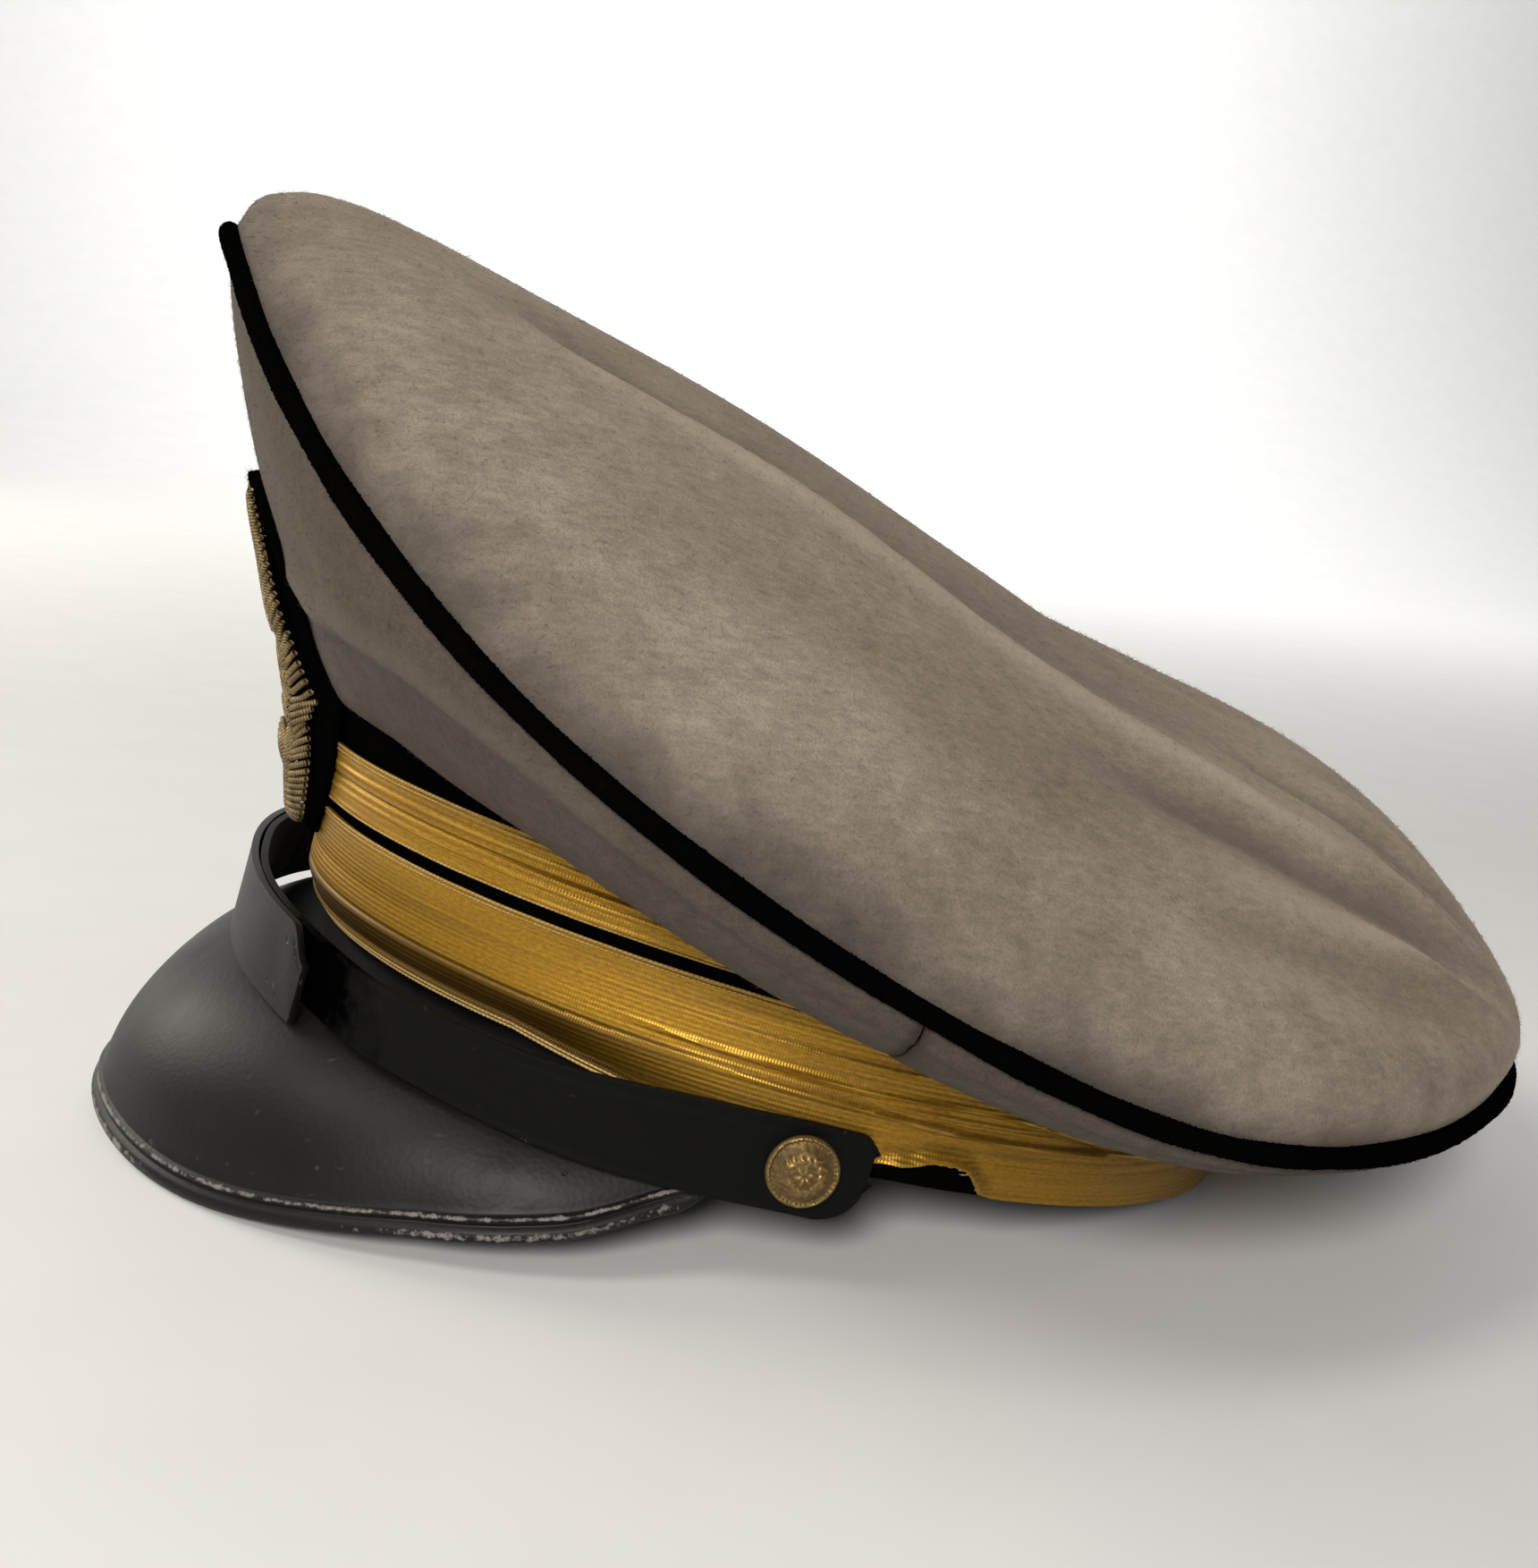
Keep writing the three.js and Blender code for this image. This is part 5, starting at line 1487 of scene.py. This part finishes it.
class OFFICER_CAP_OT_buttons(bpy.types.Operator):
    """Builds the two domed buttons with their rims and worn sprigs"""

    bl_idname = "officer_cap.buttons"
    bl_label = "Buttons"

    def execute(self, context):
        look = brass_material("Button brass", colours().brass, colours().brass_dull)
        left = self.turn_button()
        select_only(left)
        bpy.ops.object.duplicate()
        right = bpy.context.object
        for button, side, name in ((left, 1, "left"), (right, -1, "right")):
            button.name = button.data.name = f"brass_button_{name}"
            angle = np.array(side * BUTTON_ANGLE)
            normal = oval_normal(angle)
            seat = oval_point(angle, BUTTON_HEIGHT) + normal * (strap_stand(angle) + 0.1)
            turn = turn_to_row(normal).to_track_quat("Z", "Y").to_matrix().to_4x4()
            place = Matrix.Translation(Vector(to_row(seat))) @ turn @ Matrix.Scale(BUTTON_SCALE, 4)
            button.data.transform(place)
            finish_piece(button, look, [f"button_{name}"])
        return {"FINISHED"}

    def turn_button(self):
        """A cylinder whose top face is inset step by step into a rolled rim and a dome."""
        radius = BUTTON_RADIUS * MM
        stem = {"radius": BUTTON_STEM * radius, "depth": 0.5 * MM, "location": (0, 0, 0.35 * MM)}
        bpy.ops.object.select_all(action="DESELECT")
        bpy.ops.mesh.primitive_cylinder_add(vertices=48, **stem)
        button = bpy.context.object
        bpy.ops.object.transform_apply(location=True, rotation=True, scale=True)
        top = [p.index for p in button.data.polygons if p.normal.z > 0.9]
        bpy.ops.object.mode_set(mode="EDIT")
        bpy.ops.mesh.select_mode(type="FACE")
        bpy.ops.mesh.select_all(action="DESELECT")
        bpy.ops.object.mode_set(mode="OBJECT")
        button.data.polygons[top[0]].select = True
        bpy.ops.object.mode_set(mode="EDIT")
        bpy.ops.mesh.extrude_region_move(TRANSFORM_OT_translate={"value": (0, 0, 0.35 * MM)})
        wider = (1 / BUTTON_STEM, 1 / BUTTON_STEM, 1)
        bpy.ops.transform.resize(value=wider, center_override=(0, 0, 0.95 * MM))
        bpy.ops.mesh.extrude_region_move(TRANSFORM_OT_translate={"value": (0, 0, 0.7 * MM)})
        for inward, up in BUTTON_STEPS:
            bpy.ops.mesh.inset(thickness=inward * MM, depth=up * MM)
        bpy.ops.mesh.poke()
        bpy.ops.object.mode_set(mode="OBJECT")
        apply_modifier(button, "SUBSURF", levels=2, render_levels=2)
        self.press_relief(button)
        return button

    def press_relief(self, button):
        """Raises a beaded rim, a ring of sprigs and a rosette on the dome, all rubbed unevenly."""
        def turned(x, y, heading):
            """A place's distances along a heading and aside of it."""
            c, s = math.cos(heading), math.sin(heading)
            return x * c + y * s, y * c - x * s

        def leaf(along, aside, half_length, half_width):
            return 0.5 * np.exp(-((along / half_length) ** 2 + (aside / half_width) ** 2) ** 1.4)

        points = read(button.data, "vertices", 3).astype(float)
        x, y, z = points.T / MM
        away = np.hypot(x, y)
        rim_beads = 0.14 * np.cos(np.arctan2(y, x) * 44) * hump(away, 6.0, 0.35)
        relief = 0.3 * hump(away, 6.3, 0.4)
        for i in range(13):
            branch = math.radians(-150 + 25 * i)
            for tilt, ring in ((0.55, 3.75), (-0.5, 3.1)):
                from_x, from_y = x - ring * math.cos(branch), y - ring * math.sin(branch)
                along, aside = turned(from_x, from_y, branch + math.pi / 2 + tilt)
                relief = np.maximum(relief, leaf(along, aside, 0.95, 0.42))
        for i in range(6):
            along, aside = turned(x, y, math.radians(60 * i + 14))
            relief = np.maximum(relief, leaf(along - 1.15, aside, 0.75, 0.45))
        worn = 0.55 + 0.4 * ripple(x / 3.1, y / 3.1, 61)
        relief = relief * worn + 0.07 * ripple(x / 0.9, y / 0.9, 62) + 0.06 * ripple(x / 1.9, y / 1.9, 63)
        points[:, 2] += (np.where(z > 1.5, relief, 0) + np.where(z > 1.2, rim_beads, 0)) * MM
        button.data.vertices.foreach_set("co", points.astype(np.float32).ravel())
        set_uv(button.data, np.stack([x, relief], -1))
        button.data.update()


class OFFICER_CAP_OT_badge_patch(bpy.types.Operator):
    """Builds the fuzzy cloth patch under the badge"""

    bl_idname = "officer_cap.badge_patch"
    bl_label = "Badge Patch"

    def execute(self, context):
        foot, top = BADGE[0][0], BADGE[-1][0]

        def place(u, v):
            z = foot + (top - foot) * v
            across = 0.9 * BADGE_HALF_WIDTH * badge_spread(z) * (2 * u - 1)
            return badge_point(across, z, 0 * z)

        def pattern(u, v):
            return 52 * u, 63 * v

        def rise(u, v):
            return 0.18 * ripple(u * 4, v * 6, 71)

        patch = lay_sheet("badge_patch_cloth", 48, 60, place, pattern, rise)
        give_wall(patch, BADGE_WALL - 0.1, bevel=0.5)
        finish_piece(patch, black_wool(), ["badge_patch"])
        grow_nap("badge_patch_nap", patch, black_wool(), 6000, 1.2, 0.05, 0.6, 72)
        return {"FINISHED"}


class OFFICER_CAP_OT_wreath(bpy.types.Operator):
    """Builds the bullion wreath: roped sprays of slanting twisted threads over a pad, and the coiled boss"""

    bl_idname = "officer_cap.wreath"
    bl_label = "Bullion Wreath"

    def execute(self, context):
        look = thread_material("Bullion thread", colours().bullion, colours().bullion_dull, 0.62, 0.45, 0.22)
        radius = 1000 * sizes().bullion_radius
        for side, name in ((1, "left"), (-1, "right")):
            for i, threads in enumerate(self.lay_threads(side)):
                leaf = lay_cords(f"bullion_spray_{name}_{i + 1}", threads, radius, 6)
                finish_piece(leaf, look, [f"wreath_leaf_{name}_{i + 1}"])
        turn = np.linspace(0, 1, 260)
        spiral = 2 * math.pi * 4.6 * turn
        away = 4.9 * (1 - turn) ** 0.9 + 0.05
        stand = GAP + 0.55 + 1.75 * np.sqrt(1 - (away / 5.4) ** 2)
        path = badge_point(away * np.cos(spiral), BOSS_HEIGHT + away * np.sin(spiral), stand)
        coil = lay_cords("bullion_boss", path[None], 0.56, 8)
        finish_piece(coil, look, ["badge_boss"])
        return {"FINISHED"}

    def lay_threads(self, side):
        """Two rows of threads that meet along the sprays' middle, grouped by the leaf they belong to."""
        rng = np.random.default_rng(80 + side)
        across, height = np.array(SPRAY_LINE).T
        first, last = (across[0] - 3.4, height[0] - 1.6), (across[-1] - 2.0, height[-1] + 3.4)
        across = np.concatenate([[first[0]], across, [last[0]]])
        height = np.concatenate([[first[1]], height, [last[1]]])
        knots = run_of(np.hypot(np.diff(across), np.diff(height)))
        at_across, at_height = smooth_line(knots, across), smooth_line(knots, height)
        run = np.linspace(0, 1, 9)
        groups = [[] for _ in SPRAY_LINE]
        for k in range(THREAD_PAIRS):
            for hand in (-1, 1):
                middle = (k + 0.5 + rng.uniform(-0.12, 0.12)) / THREAD_PAIRS * knots[-1]
                spray = np.searchsorted(SPRAYS, middle / knots[-1])
                start = 0 if spray == 0 else SPRAYS[spray - 1]
                stop = SPRAYS[spray] if spray < len(SPRAYS) else 1
                share = (middle / knots[-1] - start) / (stop - start)
                swell = max(1 - (2 * share - 1) ** 4, 0.0) ** 0.5 * (1.05 - 0.25 * share)
                half = 0.35 + LEAF_WIDTH / 2 * swell
                place = np.clip(middle - 1.6 + 2.9 * run, 0.5, knots[-1] - 0.5)
                sideways = hand * (0.15 + half * run)
                dome = np.sqrt(np.maximum(1 - (sideways / (half + 0.5)) ** 2, 0))
                relief = SPRAY_RELIEF * (1 - 0.5 * float(ease(middle / knots[-1], 0.55, 1)))
                stand = 0.55 + relief * (0.3 + 0.7 * swell) * dome + 0.45 * (1 - share)
                ahead = np.stack([line(place + 0.5) - line(place - 0.5) for line in (at_across, at_height)])
                ahead = ahead / np.linalg.norm(ahead, axis=0)
                x = side * (at_across(place) + sideways * ahead[1])
                z = at_height(place) - sideways * ahead[0]
                nearest = int(np.argmin(np.abs(knots[1:-1] - middle)))
                groups[nearest].append(badge_point(x, z, stand))
        return [np.array(threads) for threads in groups]


class OFFICER_CAP_OT_stage(bpy.types.Operator):
    """Lays the pale floor and sets up the soft lights and the camera"""

    bl_idname = "officer_cap.stage"
    bl_label = "Stage"

    def execute(self, context):
        bpy.ops.object.select_all(action="DESELECT")
        bpy.ops.mesh.primitive_plane_add(size=7)
        floor = bpy.context.object
        floor.name = floor.data.name = "pale_floor"
        for item in (*floor.data.vertices, *floor.data.edges, *floor.data.polygons):
            item.select = False
        for edge in floor.data.edges:
            ends = [floor.data.vertices[i] for i in edge.vertices]
            if max(end.co.x for end in ends) < 0:
                for item in (edge, *ends):
                    item.select = True
        bpy.ops.object.mode_set(mode="EDIT")
        bpy.ops.mesh.select_mode(type="EDGE")
        bpy.ops.mesh.extrude_region_move(TRANSFORM_OT_translate={"value": (0, 0, 5)})
        bpy.ops.object.mode_set(mode="OBJECT")
        cove = {"width": 1.6, "segments": 24, "limit_method": "ANGLE", "angle_limit": math.radians(60)}
        apply_modifier(floor, "BEVEL", **cove)
        bpy.ops.object.shade_smooth()
        material, tree = start_material("Pale floor")
        grain = noise(tree, places(tree)["Object"], 30.0)
        pale = colours().floor
        shade = blend_colours(tree, remap(tree, grain, 0.3, 0.7), colour(pale), tinted(pale, 0.97))
        close_material(tree, shade, remap(tree, grain, 0.3, 0.7, 0.85, 0.9), grain, 0.02)
        floor.data.materials.append(material)
        lights = [
            ("Key light", (0.3, -1.1, 1.35), 0.6, 7.5, (1.0, 0.96, 0.91)),
            ("Fill light", (1.4, -0.65, 0.85), 0.5, 22.0, (1.0, 0.96, 0.92)),
            ("Peak light", (-1.1, -1.25, 0.7), 0.9, 14.5, (1.0, 0.93, 0.83)),
            ("Backdrop light", (-1.6, 0.6, 2.2), 1.8, 70.0, (1.0, 0.99, 0.97)),
        ]
        for name, place, size, power, tint in lights:
            data = bpy.data.lights.new(name, "AREA")
            data.shape, data.size, data.energy, data.color = "DISK", size, power, tint
            light = bpy.data.objects.new(name, data)
            light.location = place
            light.rotation_mode = "QUATERNION"
            aim = Vector((-3.2, 1.0, 1.2)) if name == "Backdrop light" else Vector((0, 0, 0.07))
            light.rotation_quaternion = (aim - Vector(place)).to_track_quat("-Z", "Y")
            context.scene.collection.objects.link(light)
        world = bpy.data.worlds.new("Pale room")
        context.scene.world = world
        world.use_nodes = True
        world.node_tree.nodes["Background"].inputs["Color"].default_value = (0.9, 0.92, 0.95, 1)
        world.node_tree.nodes["Background"].inputs["Strength"].default_value = 0.2
        context.scene.view_settings.view_transform = "Standard"
        self.place_camera(context)
        return {"FINISHED"}

    def place_camera(self, context):
        azimuth, elevation, roll, away = math.radians(72), math.radians(7.7), math.radians(16.9), 377.0
        level = math.cos(elevation)
        back = Vector((math.sin(azimuth) * level, -math.cos(azimuth) * level, math.sin(elevation)))
        right = (-back).cross(Vector((0, 0, 1))).normalized()
        up = right.cross(-back)
        tilted_right = math.cos(roll) * right + math.sin(roll) * up
        tilted_up = -math.sin(roll) * right + math.cos(roll) * up
        data = bpy.data.cameras.new("Photo camera")
        data.sensor_width = 36.0
        data.lens = PHOTO_FOCAL_PX * data.sensor_width / PHOTO_LONG_SIDE
        data.clip_start, data.clip_end = 0.01, 50.0
        camera = bpy.data.objects.new("Photo camera", data)
        axes = Matrix([turn_to_row(axis) for axis in (tilted_right, tilted_up, back)]).transposed()
        place = to_row(np.array([0.0, -14.0, 48.0]) + away * np.array(back))
        camera.matrix_world = Matrix.Translation(Vector(place)) @ axes.to_4x4()
        context.scene.collection.objects.link(camera)
        context.scene.camera = camera


class OFFICER_CAP_PT_panel(bpy.types.Panel):
    """Lists the cap's settings and its pieces"""

    bl_label = "Officer Cap"
    bl_idname = "OFFICER_CAP_PT_panel"
    bl_space_type = "VIEW_3D"
    bl_region_type = "UI"
    bl_category = "Officer Cap"

    def draw(self, context):
        scene = context.scene
        groups = {"Sizes": scene.officer_cap_sizes, "Colours": scene.officer_cap_colours}
        for heading, settings in groups.items():
            box = self.layout.box()
            box.label(text=heading)
            for name in type(settings).__annotations__:
                box.prop(settings, name)
        for step in STEPS:
            self.layout.operator(step.bl_idname)


STEPS = (
    OFFICER_CAP_OT_stage,
    OFFICER_CAP_OT_crown_top,
    OFFICER_CAP_OT_side_cloth,
    OFFICER_CAP_OT_piping,
    OFFICER_CAP_OT_band,
    OFFICER_CAP_OT_lace,
    OFFICER_CAP_OT_peak,
    OFFICER_CAP_OT_chin_strap,
    OFFICER_CAP_OT_buttons,
    OFFICER_CAP_OT_badge_patch,
    OFFICER_CAP_OT_wreath,
)
CLASSES = (OfficerCapSizes, OfficerCapColours, *STEPS, OFFICER_CAP_PT_panel)


def register():
    for item in CLASSES:
        bpy.utils.register_class(item)
    bpy.types.Scene.officer_cap_sizes = bpy.props.PointerProperty(type=OfficerCapSizes)
    bpy.types.Scene.officer_cap_colours = bpy.props.PointerProperty(type=OfficerCapColours)


def unregister():
    del bpy.types.Scene.officer_cap_colours
    del bpy.types.Scene.officer_cap_sizes
    for item in reversed(CLASSES):
        bpy.utils.unregister_class(item)


def main():
    register()
    bpy.ops.officer_cap.stage()
    bpy.ops.officer_cap.crown_top()
    bpy.ops.officer_cap.side_cloth()
    bpy.ops.officer_cap.piping()
    bpy.ops.officer_cap.band()
    bpy.ops.officer_cap.lace()
    bpy.ops.officer_cap.peak()
    bpy.ops.officer_cap.chin_strap()
    bpy.ops.officer_cap.buttons()
    bpy.ops.officer_cap.badge_patch()
    bpy.ops.officer_cap.wreath()


if __name__ == "__main__":
    main()
